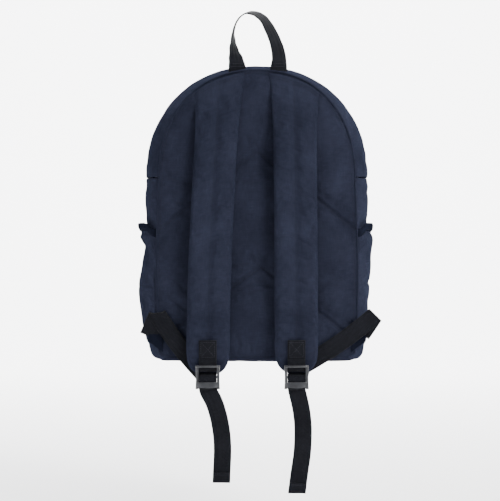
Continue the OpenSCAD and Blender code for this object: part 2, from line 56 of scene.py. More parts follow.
# Places come from the frame: the base plane, the back seam, the fold line and the zip.
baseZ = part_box("bottom_panel")[0][2]
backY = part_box("back_panel")[0][1]
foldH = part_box("rear_gusset")[0][2] - baseZ
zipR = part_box("rear_gusset")[1][0]
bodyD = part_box("front_panel_lower")[1][1] - backY
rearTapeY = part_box("zip_tape_rear")[0][1] - backY
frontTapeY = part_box("zip_tape_front")[1][1] - backY
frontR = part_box("front_panel_upper")[1][0]
zipY = (rearTapeY + frontTapeY) / 2
bagMiddle = Vector((0, backY + bodyD / 2, baseZ + foldH * 0.7))

bag = {"backHalf": 141 * mm, "belly": 4 * mm, "corner": 11 * mm, "puff": 9.5 * mm, "puffStart": 170 * mm,
       "puffRise": 80 * mm, "sag": 6 * mm, "sagRise": 90 * mm, "square": 2.2, "wall": 2.4 * mm,
       "domeStep": 1 * mm, "foldShare": 0.58}


def at(x, y, z):  # x across, y behind the back seam, z above the base
    return Vector((x, backY + y, baseZ + z))


def mix(a, b, t):
    return a + (b - a) * t


def clamp(v, low=0.0, high=1.0):
    return max(low, min(high, v))


def smooth(t):
    t = clamp(t)
    return t * t * (3 - 2 * t)


def power(v, e):
    return math.copysign(abs(v) ** e, v)


# Materials

def newMaterial(name, color, rough, metallic=0.0, specular=0.4):
    mat = bpy.data.materials.new(name)
    mat.use_nodes = True
    tree = mat.node_tree
    shader = tree.nodes["Principled BSDF"]
    shader.inputs["Base Color"].default_value = (*color, 1)
    shader.inputs["Roughness"].default_value = rough
    shader.inputs["Metallic"].default_value = metallic
    shader.inputs["Specular IOR Level"].default_value = specular
    return mat, tree, shader


def node(tree, kind, **values):
    n = tree.nodes.new(kind)
    for key, value in values.items():
        n.inputs[key].default_value = value
    return n


def maths(tree, operation, a, b=None):
    n = tree.nodes.new("ShaderNodeMath")
    n.operation = operation
    for socket, value in zip(n.inputs, (a, b)):
        if value is None:
            continue
        if isinstance(value, (int, float)):
            socket.default_value = value
        else:
            tree.links.new(value, socket)
    return n.outputs[0]


def threadWave(tree, coordinate, pitch):  # a sine along one direction of the cloth
    return maths(tree, "SINE", maths(tree, "MULTIPLY", coordinate, 2 * math.pi / pitch))


def noiseOn(tree, vector, scale, detail=4.0, stretch=None):
    if stretch:
        mapping = node(tree, "ShaderNodeMapping")
        mapping.inputs["Scale"].default_value = stretch
        tree.links.new(vector, mapping.inputs["Vector"])
        vector = mapping.outputs["Vector"]
    n = node(tree, "ShaderNodeTexNoise", Scale=scale, Detail=detail)
    tree.links.new(vector, n.inputs["Vector"])
    return n.outputs["Fac"]


def colourBetween(tree, shader, factor, dark, light, high):  # dark up to 0.3 of the factor, light from high
    ramp = tree.nodes.new("ShaderNodeValToRGB")
    ramp.color_ramp.elements[0].position = 0.3
    ramp.color_ramp.elements[1].position = high
    ramp.color_ramp.elements[0].color = (*dark, 1)
    ramp.color_ramp.elements[1].color = (*light, 1)
    tree.links.new(factor, ramp.inputs["Fac"])
    tree.links.new(ramp.outputs["Color"], shader.inputs["Base Color"])


def bumpFrom(tree, shader, height, strength):  # height is in metres
    bump = node(tree, "ShaderNodeBump", Strength=strength, Distance=1.0)
    tree.links.new(height, bump.inputs["Height"])
    tree.links.new(bump.outputs["Normal"], shader.inputs["Normal"])


def clothCoordinates(tree):
    uv = tree.nodes.new("ShaderNodeTexCoord")
    split = tree.nodes.new("ShaderNodeSeparateXYZ")
    tree.links.new(uv.outputs["UV"], split.inputs[0])
    return uv, split.outputs["X"], split.outputs["Y"]


def wovenMaterial(name, dark, light, pitch, sheen, depth=0.00025, crease=0.0012):
    mat, tree, shader = newMaterial(name, light, 0.92, specular=0.0)
    shader.inputs["Sheen Weight"].default_value = sheen
    shader.inputs["Sheen Roughness"].default_value = 0.5
    shader.inputs["Sheen Tint"].default_value = (0.25, 0.3, 0.5, 1)
    uv, u, v = clothCoordinates(tree)
    weave = maths(tree, "MULTIPLY", threadWave(tree, u, pitch), threadWave(tree, v, pitch))
    yarnU = noiseOn(tree, uv.outputs["UV"], 900, 2, (0.08, 1, 1))
    yarnV = noiseOn(tree, uv.outputs["UV"], 900, 2, (1, 0.08, 1))
    yarn = maths(tree, "ADD", yarnU, yarnV)
    cloud = noiseOn(tree, uv.outputs["UV"], 14, 5)
    wear = noiseOn(tree, uv.outputs["UV"], 160, 3)
    tone = maths(tree, "ADD", maths(tree, "MULTIPLY", cloud, 0.55), maths(tree, "MULTIPLY", yarn, 0.16))
    tone = maths(tree, "ADD", tone, maths(tree, "MULTIPLY", weave, 0.07))
    tone = maths(tree, "ADD", tone, maths(tree, "MULTIPLY", wear, 0.12))
    colourBetween(tree, shader, tone, dark, light, 0.72)
    rough = maths(tree, "ADD", maths(tree, "MULTIPLY", cloud, 0.1), 0.86)
    tree.links.new(rough, shader.inputs["Roughness"])
    fine = maths(tree, "ADD", maths(tree, "MULTIPLY", weave, 0.5), maths(tree, "MULTIPLY", yarn, 0.8))
    soft = noiseOn(tree, uv.outputs["UV"], 38, 4)
    height = maths(tree, "ADD", maths(tree, "MULTIPLY", fine, depth), maths(tree, "MULTIPLY", soft, crease))
    bumpFrom(tree, shader, height, 0.8)
    return mat


def webbingMaterial(name, dark, light, rib, depth):
    mat, tree, shader = newMaterial(name, light, 0.75, specular=0.06)
    shader.inputs["Sheen Weight"].default_value = 0.03
    uv, u, v = clothCoordinates(tree)
    ribs = threadWave(tree, u, rib)
    # Each rib's picks lean the other way from its neighbour's, as in flat woven webbing.
    lean = maths(tree, "PINGPONG", u, rib)
    picks = threadWave(tree, maths(tree, "ADD", v, lean), rib * 0.75)
    fuzz = noiseOn(tree, uv.outputs["UV"], 700, 3)
    cloud = noiseOn(tree, uv.outputs["UV"], 30, 4)
    tone = maths(tree, "ADD", maths(tree, "MULTIPLY", picks, 0.12), maths(tree, "MULTIPLY", cloud, 0.6))
    tone = maths(tree, "ADD", tone, maths(tree, "MULTIPLY", fuzz, 0.35))
    colourBetween(tree, shader, tone, dark, light, 0.75)
    height = maths(tree, "ADD", maths(tree, "MULTIPLY", ribs, 0.6), maths(tree, "MULTIPLY", picks, 0.6))
    height = maths(tree, "ADD", height, maths(tree, "MULTIPLY", fuzz, 0.5))
    bumpFrom(tree, shader, maths(tree, "MULTIPLY", height, depth), 0.9)
    return mat


def mouldedMaterial(name, color, rough, metallic, grain, gloss=0.5):
    mat, tree, shader = newMaterial(name, color, rough, metallic, gloss)
    place = tree.nodes.new("ShaderNodeTexCoord")
    fine = noiseOn(tree, place.outputs["Object"], 2600, 3)
    broad = noiseOn(tree, place.outputs["Object"], 120, 4)
    lighter = tuple(min(1, c * 1.35 + 0.004) for c in color)
    darker = tuple(c * 0.75 for c in color)
    colourBetween(tree, shader, broad, darker, lighter, 0.7)
    scuffed = maths(tree, "ADD", maths(tree, "MULTIPLY", broad, 0.22), rough - 0.11)
    tree.links.new(scuffed, shader.inputs["Roughness"])
    bumpFrom(tree, shader, maths(tree, "MULTIPLY", fine, grain), 0.7)
    return mat


def ripstopMaterial(name, dark, light, cell):
    mat, tree, shader = newMaterial(name, light, 0.6, specular=0.4)
    uv, u, v = clothCoordinates(tree)
    lines = maths(tree, "MAXIMUM", maths(tree, "GREATER_THAN", threadWave(tree, u, cell), 0.93),
                  maths(tree, "GREATER_THAN", threadWave(tree, v, cell), 0.93))
    cloud = noiseOn(tree, uv.outputs["UV"], 20, 4)
    tone = maths(tree, "ADD", maths(tree, "MULTIPLY", lines, 0.25), maths(tree, "MULTIPLY", cloud, 0.8))
    colourBetween(tree, shader, tone, dark, light, 0.8)
    creases = noiseOn(tree, uv.outputs["UV"], 30, 5)
    height = maths(tree, "ADD", maths(tree, "MULTIPLY", lines, 0.0002), maths(tree, "MULTIPLY", creases, 0.002))
    bumpFrom(tree, shader, height, 0.8)
    return mat


tones = {
    "navy": ((0.0072, 0.0082, 0.0142), (0.0205, 0.0228, 0.0378)),
    "strap": ((0.0075, 0.0086, 0.0148), (0.021, 0.0235, 0.039)),
    "trim": ((0.003, 0.0036, 0.007), (0.0095, 0.011, 0.019)),
    "webbing": ((0.0022, 0.0024, 0.0036), (0.0085, 0.009, 0.0125)),
    "lining": ((0.05, 0.057, 0.075), (0.1, 0.11, 0.135)),
}
navyCloth = wovenMaterial("navyCloth", *tones["navy"], 1.1 * mm, 0.05)
strapCloth = wovenMaterial("strapCloth", *tones["strap"], 1.1 * mm, 0.05)
trimCloth = wovenMaterial("trimCloth", *tones["trim"], 0.9 * mm, 0.03)
meshCloth = wovenMaterial("meshCloth", *tones["trim"], 2.4 * mm, 0.03, 0.0006)
blackWebbing = webbingMaterial("blackWebbing", *tones["webbing"], 2.1 * mm, 0.00022)
zipTapeCloth = webbingMaterial("zipTapeCloth", *tones["webbing"], 1.2 * mm, 0.00012)
liningCloth = ripstopMaterial("liningCloth", *tones["lining"], 5 * mm)
threadMaterial = mouldedMaterial("sewingThread", (0.0075, 0.0085, 0.0145), 0.85, 0.0, 0.00004, 0.05)
# Paler than the webbing: the bar-tack thread's own colour made lighter, so that it also paints the highlight along the
# bar tacks.
webbingThreadPaintedHighlight = mouldedMaterial("webbingThreadPaintedHighlight", (0.02, 0.0215, 0.028), 0.8, 0.0, 0.00004, 0.1)
lockPlastic = mouldedMaterial("lockPlastic", (0.016, 0.017, 0.02), 0.36, 0.0, 0.00005)
coilPlastic = mouldedMaterial("coilPlastic", (0.006, 0.006, 0.008), 0.38, 0.0, 0.00002)
sliderMetal = mouldedMaterial("sliderMetal", (0.07, 0.07, 0.075), 0.36, 0.85, 0.00002)
boardPlastic = mouldedMaterial("boardPlastic", (0.03, 0.03, 0.034), 0.55, 0.0, 0.0001)
print("materials ready")


# Mesh helpers

def finishMesh(name, bm, material):
    data = bpy.data.meshes.new(name)
    bm.to_mesh(data)
    bm.free()
    obj = bpy.data.objects.new(name, data)
    bpy.context.scene.collection.objects.link(obj)
    for mat in material if isinstance(material, (list, tuple)) else [material]:
        data.materials.append(mat)
    data.polygons.foreach_set("use_smooth", [True] * len(data.polygons))
    return obj


# place(p, q) gives a point for p and q from 0 to 1. Without uvSize the cloth map is the flat front view.
def clothGrid(cols, rows, place, uvSize, ring=False, caps=False, away=None):
    bm = bmesh.new()
    bmesh.ops.create_grid(bm, x_segments=cols, y_segments=rows, size=1)
    uvLayer = bm.loops.layers.uv.new("clothMap")
    where = {v: ((v.co.x + 1) / 2, (v.co.y + 1) / 2) for v in bm.verts}
    for face in bm.faces:
        for loop in face.loops:
            p, q = where[loop.vert]
            spot = place(p, q) if uvSize is None else None
            loop[uvLayer].uv = (spot.x, spot.z) if spot else (p * uvSize[0], q * uvSize[1])
    for v, (p, q) in where.items():
        v.co = place(p, q)
    bmesh.ops.remove_doubles(bm, verts=bm.verts, dist=2e-6)
    if caps:
        edges = [e for e in bm.edges if e.is_boundary]
        bmesh.ops.holes_fill(bm, edges=edges, sides=0)
    if ring:
        bmesh.ops.recalc_face_normals(bm, faces=bm.faces)
    elif away is not None:
        bm.normal_update()
        lean = sum((f.normal.dot(f.calc_center_median() - away) * f.calc_area() for f in bm.faces))
        if lean < 0:
            bmesh.ops.reverse_faces(bm, faces=bm.faces)
    return bm


def addThickness(obj, thickness, offset=-1, inner=0):
    m = obj.modifiers.new("thickness", "SOLIDIFY")
    m.thickness = thickness
    m.offset = offset
    m.material_offset = inner
    m.material_offset_rim = 0


def addSubdivision(obj):
    m = obj.modifiers.new("subdivision", "SUBSURF")
    m.levels = m.render_levels = 1


def applyModifiers(obj):
    depsgraph = bpy.context.evaluated_depsgraph_get()
    data = bpy.data.meshes.new_from_object(obj.evaluated_get(depsgraph))
    obj.modifiers.clear()
    obj.data = data


# Lets a cloth puff out and pucker between its pinned seams; no point moves further than cap.
def relaxCloth(obj, pinWeight, pressure, grow, cap, frames=18, bending=0.6):
    scene = bpy.context.scene
    group = obj.vertex_groups.new(name="pins")
    start = [v.co.copy() for v in obj.data.vertices]
    for v in obj.data.vertices:
        w = pinWeight(v.co)
        if w > 0:
            group.add([v.index], w, "REPLACE")
    m = obj.modifiers.new("relax", "CLOTH")
    s = m.settings
    s.vertex_group_mass = "pins"
    s.pin_stiffness = 5
    s.quality = 6
    s.mass = 0.3
    s.tension_stiffness = 18
    s.compression_stiffness = 18
    s.shear_stiffness = 8
    s.bending_stiffness = bending
    s.use_pressure = True
    s.uniform_pressure_force = pressure
    s.shrink_min = -grow
    s.effector_weights.gravity = 0
    m.point_cache.frame_start = 1
    m.point_cache.frame_end = frames
    for f in range(1, frames + 1):
        scene.frame_set(f)
    depsgraph = bpy.context.evaluated_depsgraph_get()
    moved = obj.evaluated_get(depsgraph).data
    new = [v.co.copy() for v in moved.vertices]
    obj.modifiers.remove(m)
    scene.frame_set(1)
    for v, a, b in zip(obj.data.vertices, start, new):
        step = b - a
        if step.length > cap:
            step = step.normalized() * cap
        v.co = a + step
    obj.vertex_groups.clear()
    obj.data.update()


def surfaceOf(obj):
    depsgraph = bpy.context.evaluated_depsgraph_get()
    return BVHTree.FromObject(obj, depsgraph)


# Where a point meets a surface when it is moved along direction, and the surface's normal there.
def dropOn(tree, point, direction, reach=0.05):
    hit, normal, _, _ = tree.ray_cast(point - direction * reach, direction, reach * 2)
    if hit is None:
        return point, -direction
    return hit, normal if normal.dot(direction) < 0 else -normal


stitching = {"pitch": 3.1 * mm, "length": 2.5 * mm, "radius": 0.34 * mm}


def sewLine(bm, points, normals):  # a run of stitches along a polyline that lies on a surface
    radius = stitching["radius"]
    left = stitching["pitch"] / 2
    for a, b, n in zip(points, points[1:], normals):
        step = (b - a).length
        if step < 1e-7:
            continue
        along = (b - a) / step
        while left < step:
            middle = a + along * left + n * radius * 0.35
            side = n.cross(along).normalized()
            made = bmesh.ops.create_icosphere(bm, subdivisions=1, radius=1.0)
            for v in made["verts"]:
                c = v.co.copy()
                v.co = middle + along * c.x * stitching["length"] / 2 + side * c.y * radius + n * c.z * radius
            left += stitching["pitch"]
        left -= step


def sewOn(bm, tree, points, direction):
    hits = [dropOn(tree, p, direction) for p in points]
    sewLine(bm, [h[0] for h in hits], [h[1] for h in hits])


def polyline(points, step=2 * mm):
    out = []
    for a, b in zip(points, points[1:]):
        n = max(1, int((b - a).length / step))
        out += [a.lerp(b, k / n) for k in range(n)]
    return out + [points[-1]]


def tube(name, points, radius, material, sides):  # a closed round bead along points
    curve = bpy.data.curves.new(name, "CURVE")
    curve.dimensions = "3D"
    spline = curve.splines.new("POLY")
    spline.points.add(len(points) - 1)
    for p, c in zip(spline.points, points):
        p.co = (*c, 1)
    spline.use_cyclic_u = True
    curve.bevel_depth = radius
    curve.bevel_resolution = sides // 4
    maker = bpy.data.objects.new(name, curve)
    bpy.context.scene.collection.objects.link(maker)
    depsgraph = bpy.context.evaluated_depsgraph_get()
    data = bpy.data.meshes.new_from_object(maker.evaluated_get(depsgraph))
    bpy.data.objects.remove(maker)
    obj = bpy.data.objects.new(name, data)
    bpy.context.scene.collection.objects.link(obj)
    data.materials.clear()
    data.materials.append(material)
    data.polygons.foreach_set("use_smooth", [True] * len(data.polygons))
    return obj


def ribbon(name, frames, width, thick, material):  # frames are (middle, across, out) along its run
    around = 16
    run = [0.0]
    for a, b in zip(frames, frames[1:]):
        run.append(run[-1] + (b[0] - a[0]).length)

    def place(p, q):
        k = min(int(q * (len(frames) - 1) + 0.5), len(frames) - 1)
        middle, across, out = frames[k]
        angle = 2 * math.pi * p
        return middle + across * (width / 2 * power(math.cos(angle), 0.25)) \
            + out * (thick / 2 * power(math.sin(angle), 0.55))

    bm = clothGrid(around, len(frames) - 1, place, (2 * width, run[-1]), ring=True, caps=True)
    return finishMesh(name, bm, material)


# The bag's outline

def cornerCut(z):
    r = bag["corner"]
    return r - math.sqrt(r * r - (r - z) ** 2) if z < r else 0.0


def rearShare(y):
    return math.sin(math.pi / 2 * clamp(y / rearTapeY))


def halfWidth(y):
    if y < rearTapeY:
        return mix(bag["backHalf"], zipR, rearShare(y))
    if y < frontTapeY:
        return zipR
    v = math.asin(clamp((y - frontTapeY) / (bodyD - frontTapeY)))
    return zipR - (zipR - frontR) * (1 - math.cos(v))


def sideX(x, z):
    return x + bag["belly"] * math.sin(math.pi * z / foldH) - cornerCut(z)


def puff(y, z):  # how far the filled rear gusset stands out, a share of z down the sides
    if y <= 0 or y >= rearTapeY:
        return 0.0
    return bag["puff"] * math.sin(math.pi * y / rearTapeY) ** 0.8 \
        * smooth((z - bag["puffStart"]) / bag["puffRise"])


def sag(y, z=0.0):  # how far the bottom hangs down between its seams
    return bag["sag"] * math.sin(math.pi * clamp(y / bodyD)) ** 0.7 * (1 - smooth(z / bag["sagRise"]))


def domeTop(y):
    return mix(zipR - bag["domeStep"], zipR, rearShare(y))


def domeXZ(y, angle):  # angle runs from the left end of the fold line over the top
    e = 2 / mix(bag["square"], 2, clamp(y / rearTapeY) ** 2)
    return -halfWidth(y) * power(math.cos(angle), e), foldH + domeTop(y) * power(abs(math.sin(angle)), e)


def backTop(x):
    n = bag["square"]
    share = clamp(abs(x) / bag["backHalf"])
    return foldH + domeTop(0) * (1 - share ** n) ** (1 / n)


def backHalfAt(z):
    if z <= foldH:
        return sideX(bag["backHalf"], z)
    n = bag["square"]
    return bag["backHalf"] * (1 - clamp((z - foldH) / domeTop(0)) ** n) ** (1 / n)


def seamOutline(y, inset, steps=96):  # the outline at a depth y, from the left bottom corner over the dome
    left = [Vector((-sideX(halfWidth(y), z) + inset, 0, z)) for z in np.linspace(0.0, foldH, steps // 3)]
    top = []
    for k in range(1, steps):
        x, z = domeXZ(y, math.pi * k / steps)
        top.append(Vector((x - math.copysign(inset, x) * abs(x) / zipR, 0, z - inset * (z - foldH) / zipR)))
    right = [Vector((-v.x, 0, v.z)) for v in reversed(left)]
    return [at(v.x, y, v.z) for v in left + top + right]


# Back panel: a foam pad quilted by two chevron seams

backPad = {"crown": 3 * mm, "rise": 30 * mm, "recess": 2.6 * mm, "seamReach": 3 * mm, "ripple": 0.5 * mm,
           "thick": 3 * mm, "seamPin": 1.9 * mm, "borderPin": 5 * mm, "upperApex": (0.0, 0.298),
           "upperEnd": 0.181, "lowerApex": (0.006, 0.132), "lowerEnd": 0.022, "pressure": 7.0, "grow": 0.03,
           "cap": 4.5 * mm}


def chevrons():
    edge = bag["backHalf"] + bag["belly"]
    out = []
    for apex, end in (("upperApex", "upperEnd"), ("lowerApex", "lowerEnd")):
        ax, az = backPad[apex]
        for side in (-1, 1):
            out.append((Vector((ax, az)), Vector((side * edge, backPad[end]))))
    return out


backSeams = chevrons()


def seamDistance(x, z):
    p = Vector((x, z))
    best = 1.0
    for a, b in backSeams:
        t = clamp((p - a).dot(b - a) / (b - a).length_squared)
        best = min(best, (p - a.lerp(b, t)).length)
    return best


def borderDistance(x, z):
    return min(backHalfAt(z) - abs(x), z, backTop(x) - z)


def backDepth(x, z):
    inner = clamp(borderDistance(x, z) / backPad["rise"])
    dip = backPad["recess"] * math.exp(-(seamDistance(x, z) / backPad["seamReach"]) ** 2)
    ripple = backPad["ripple"] * noise.noise(Vector((x * 22, 3.1, z * 16)))
    return -backPad["crown"] * math.sin(inner * math.pi / 2) + dip * smooth(inner * 2 + 0.3) + ripple


def buildBackPanel():
    foldShare = bag["foldShare"]

    def place(p, q):
        if q < foldShare:
            z = foldH * q / foldShare
            half = sideX(bag["backHalf"], z)
        else:
            x, z = domeXZ(0, math.pi / 2 * (q - foldShare) / (1 - foldShare))
            half = abs(x)
        x = (2 * p - 1) * half
        return at(x, backDepth(x, z), z)

    bm = clothGrid(92, 128, place, (2 * bag["backHalf"], foldH + zipR), away=bagMiddle)
    obj = finishMesh("backPanelPad", bm, [navyCloth, liningCloth])

    def pins(co):
        x, z = co.x, co.z - baseZ
        return 1.0 if seamDistance(x, z) < backPad["seamPin"] or borderDistance(x, z) < backPad["borderPin"] else 0.0

    relaxCloth(obj, pins, backPad["pressure"], backPad["grow"], backPad["cap"])
    addThickness(obj, backPad["thick"], inner=1)
    addSubdivision(obj)
    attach(obj, "bag")
    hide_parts("back_panel", "back_foam")
    return obj


backPanelPad = buildBackPanel()
backTree = surfaceOf(backPanelPad)
print("back panel ready")


def sewBackPanel():
    bm = bmesh.new()
    for a, b in backSeams:
        inward = (b - a).normalized()
        for off in (-1.6 * mm, 1.6 * mm):
            shift = Vector((-inward.y, inward.x)) * off
            path = [at(*p) for p in
                    ((a.x + shift.x, 0, a.y + shift.y), (b.x * 0.985 + shift.x, 0, mix(a.y, b.y, 0.985) + shift.y))]
            sewOn(bm, backTree, polyline(path, 3 * mm), Vector((0, 1, 0)))
    edge = [p for p in seamOutline(0, 5.2 * mm) if p.z > baseZ + 6 * mm]
    sewOn(bm, backTree, polyline(edge, 3 * mm), Vector((0, 1, 0)))
    obj = finishMesh("backPanelStitches", bm, threadMaterial)
    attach(obj, "bag")


sewBackPanel()

pipe = {"radius": 1.5 * mm, "depth": 0.2 * mm}


def buildPiping():
    base = bag["corner"]
    outline = seamOutline(0, pipe["radius"] * 0.4)
    low = [at(x, 0, 0) for x in np.linspace(bag["backHalf"] - base, -bag["backHalf"] + base, 40)]
    points = [p + Vector((0, pipe["depth"], 0)) for p in outline + low[1:-1]]
    obj = tube("backSeamPiping", points, pipe["radius"], navyCloth, 12)
    bm = bmesh.new()
    bm.from_mesh(obj.data)
    uvLayer = bm.loops.layers.uv.new("clothMap")
    for face in bm.faces:
        for loop in face.loops:
            loop[uvLayer].uv = (loop.vert.co.x + loop.vert.co.y, loop.vert.co.z)
    bm.to_mesh(obj.data)
    bm.free()
    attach(obj, "bag")
    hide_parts("rear_piping")


buildPiping()


# Walls of the main compartment

wallCloth = {"pressure": 2.2, "grow": 0.014, "cap": 4 * mm, "crumple": 0.8 * mm, "calmEdge": 20 * mm,
             "pinEdge": 3 * mm}


def crumple(point, scale=17.0, amount=wallCloth["crumple"]):
    return amount * noise.fractal(point * scale, 1.0, 2.0, 3)


# A cloth wall pinned along its sewn edges. edge(co) is the distance to the nearest seam.
def wallPiece(name, cols, rows, place, uvSize, edge, nodes, body="bag", settings=wallCloth,
              material=navyCloth, thickness=bag["wall"]):
    bm = clothGrid(cols, rows, place, uvSize, away=bagMiddle)
    bm.normal_update()
    for v in bm.verts:
        v.co += v.normal * crumple(v.co) * smooth(edge(v.co) / wallCloth["calmEdge"])
    obj = finishMesh(name, bm, [material, liningCloth])
    relaxCloth(obj, lambda co: 1.0 if edge(co) < wallCloth["pinEdge"] else 0.0, settings["pressure"],
               settings["grow"], settings["cap"])
    addThickness(obj, thickness, inner=1)
    addSubdivision(obj)
    if body:
        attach(obj, body)
    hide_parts(*nodes)
    return obj


def buildRearGusset():
    def place(p, q):
        y = rearTapeY * q
        x, z = domeXZ(y, math.pi * p)
        out = Vector((x, z - foldH)).normalized() * puff(y, foldH) * (1 - 0.35 * math.sin(math.pi * p) ** 4)
        return at(x + out.x, y, z + out.y)

    def edge(co):
        y = co.y - backY
        return min(y, rearTapeY - y, co.z - baseZ - foldH)

    wallPiece("rearGusset", 150, 26, place, (math.pi * zipR, rearTapeY), edge, ["rear_gusset"])


def buildSidePanel(side, name):
    def place(p, q):
        turn = 0.62
        if p < turn:
            y = frontTapeY * p / turn
        else:
            y = frontTapeY + (bodyD - frontTapeY) * math.sin(math.pi / 2 * (p - turn) / (1 - turn))
        z = foldH * q
        return at(side * (sideX(halfWidth(y), z) + puff(y, z)), y, z - sag(y, z))

    def edge(co):
        y, z = co.y - backY, co.z - baseZ
        return min(y, bodyD - y, z + sag(y), foldH - z)

    wallPiece("sidePanel" + name, 52, 80, place, (bodyD * 1.15, foldH), edge, ["side_panel_" + name.lower()])


def buildBottom():
    def place(p, q):
        y = bodyD * q
        x = (2 * p - 1) * (halfWidth(y) - bag["corner"])
        return at(x, y, -sag(y) - 1.2 * mm * math.sin(math.pi * q) * math.sin(math.pi * p))

    def edge(co):
        y = co.y - backY
        return min(y, bodyD - y, halfWidth(y) - bag["corner"] - abs(co.x))

    calm = dict(wallCloth, pressure=0.4, grow=0.004, cap=1.5 * mm)
    wallPiece("bottomPanel", 70, 34, place, (2 * zipR, bodyD), edge, ["bottom_panel"],
              settings=calm, material=trimCloth)


front = {"crown": 3.5 * mm, "pocketCrown": 3.5 * mm, "pocketCorner": 26 * mm, "pocketRound": 6 * mm,
         "pocketWall": 2 * mm, "piping": 1.4 * mm}


def frontCrown(x):
    return front["crown"] * (1 - (clamp(abs(x) / frontR)) ** 2)


def buildFrontLower():
    def place(p, q):
        z = foldH * q
        x = (2 * p - 1) * sideX(frontR, z)
        return at(x, bodyD + frontCrown(x) * smooth(z / 0.05), z)

    def edge(co):
        z = co.z - baseZ
        return min(z, foldH - z, sideX(frontR, max(z, 0)) - abs(co.x))

    wallPiece("frontLowerPanel", 80, 74, place, (2 * frontR, foldH), edge, ["front_panel_lower"])


def buildFrontUpper():
    def place(p, q):
        r = frontR * q
        angle = math.pi * p
        x, h = -r * math.cos(angle), r * math.sin(angle)
        return at(x, bodyD + frontCrown(math.hypot(x, h)), foldH + h)

    def edge(co):
        x, h = co.x, co.z - baseZ - foldH
        return min(h, frontR - math.hypot(x, h))

    obj = wallPiece("frontUpperPanel", 110, 44, place, None, edge, ["front_panel_upper"], body=None)
    applyModifiers(obj)
    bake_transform(obj)


def buildFrontGusset():
    def place(p, q):
        v = math.pi / 2 * q
        r = zipR - (zipR - frontR) * (1 - math.cos(v))
        y = frontTapeY + (bodyD - frontTapeY) * math.sin(v)
        angle = math.pi * mix(0.0025, 0.9975, p)
        return at(-r * math.cos(angle), y, foldH + r * math.sin(angle))

    def edge(co):
        y, h = co.y - backY, co.z - baseZ - foldH
        r = math.hypot(co.x, h)
        return min(y - frontTapeY, r - frontR, h)

    wallPiece("frontGusset", 150, 18, place, (math.pi * zipR, 0.045), edge, ["front_gusset"], body="flap")


buildRearGusset()
buildSidePanel(-1, "Left")
buildSidePanel(1, "Right")
buildBottom()
buildFrontLower()
buildFrontUpper()
buildFrontGusset()
print("walls ready")


# Inside of the main compartment

def flatCloth(name, cols, rows, place, uvSize, nodes, material, thickness=1.2 * mm):
    bm = clothGrid(cols, rows, place, uvSize)
    obj = finishMesh(name, bm, material)
    addThickness(obj, thickness, offset=0)
    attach(obj, "bag")
    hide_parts(*nodes)
    return obj


def buildInside():
    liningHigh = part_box("back_lining")[1]
    sleeveLow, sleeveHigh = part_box("laptop_sleeve")
    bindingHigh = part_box("sleeve_binding")[1]
    liningY = liningHigh.y - backY
    inset = zipR - 1 * mm - (liningHigh.z - baseZ - foldH)
    foldShare = bag["foldShare"]

    def lining(p, q):
        if q < foldShare:
            z = (foldH - inset) * q / foldShare + inset
            half = sideX(bag["backHalf"], z) - inset
        else:
            x, z = domeXZ(0, math.pi / 2 * (q - foldShare) / (1 - foldShare))
            half, z = abs(x) * (1 - inset / zipR), foldH + (z - foldH) * (1 - inset / zipR)
        x = (2 * p - 1) * half
        return at(x, liningY - 0.6 * mm + 0.8 * mm * noise.noise(Vector((x * 25, 9, z * 25))), z)

    flatCloth("backLining", 60, 90, lining, (0.28, 0.41), ["back_lining"], liningCloth)
    halfSleeve = sleeveHigh.x
    depth = sleeveHigh.y - backY - liningY

    def sleeve(p, q):  # the front wall and both side walls in one sheet
        span = 2 * halfSleeve + 2 * depth
        s = p * span
        z = (sleeveLow.z - baseZ) + (bindingHigh.z - sleeveLow.z) * q
        wave = 1.6 * mm * noise.noise(Vector((p * 7, q * 5, 2.0))) * smooth(q * 2)
        if s < depth:
            return at(-halfSleeve + 1 * mm, liningY + s, z)
        if s > span - depth:
            return at(halfSleeve - 1 * mm, liningY + span - s, z)
        return at(-halfSleeve + 1 * mm + (s - depth) * (1 - 1 * mm / halfSleeve), liningY + depth - 1.2 * mm + wave, z)

    flatCloth("laptopSleeve", 110, 60, sleeve, (0.27, 0.26), ["laptop_sleeve"], liningCloth, 1.6 * mm)

    def bindingFrame(s):
        p = sleeve(s, 1.0)
        a, b = sleeve(max(0, s - 0.01), 1.0), sleeve(min(1, s + 0.01), 1.0)
        along = (b - a).normalized()
        return p, Vector((0, 0, 1)), along.cross(Vector((0, 0, 1)))

    frames = [bindingFrame(k / 80) for k in range(81)]
    obj = ribbon("sleeveBinding", frames, 12 * mm, 3 * mm, blackWebbing)
    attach(obj, "bag")
    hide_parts("sleeve_binding")


buildInside()
for nodeName, material in (("base_stiffener", boardPlastic), ("zip_end_stops", sliderMetal)):
    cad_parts[nodeName].data.materials.clear()
    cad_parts[nodeName].data.materials.append(material)
print("inside ready")


# Zips

zipKit = {"pitch": 1.7 * mm, "toothAcross": 3.6 * mm, "toothLong": 1.15 * mm, "toothHigh": 1.9 * mm,
          "coilApart": 1.75 * mm, "coilRise": 1.2 * mm, "tape": 1.2 * mm, "tapeGap": 0.4 * mm, "sewnIn": 3 * mm}


def teeth(name, frames, body, nodeName):  # one rounded turn of the coil at each frame (middle, along, across, out)
    bm = bmesh.new()
    for middle, along, across, out in frames:
        made = bmesh.ops.create_icosphere(bm, subdivisions=1, radius=0.5)
        for v in made["verts"]:
            c = v.co.copy()
            v.co = middle + along * c.x * zipKit["toothLong"] + across * c.y * zipKit["toothAcross"] \
                + out * c.z * zipKit["toothHigh"]
    obj = finishMesh(name, bm, coilPlastic)
    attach(obj, body)
    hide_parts(nodeName)


def domeZipFrames(side, radius):
    count = int(math.pi * radius / zipKit["pitch"])
    frames = []
    for k in range(1, count - 1):
        angle = math.pi * (k + (0.25 if side > 0 else -0.25)) / count
        out = Vector((-math.cos(angle), 0, math.sin(angle)))
        along = Vector((math.sin(angle), 0, math.cos(angle)))
        middle = at(0, zipY + side * zipKit["coilApart"], foldH) + out * radius
        frames.append((middle, along, Vector((0, 1, 0)), out))
    return frames


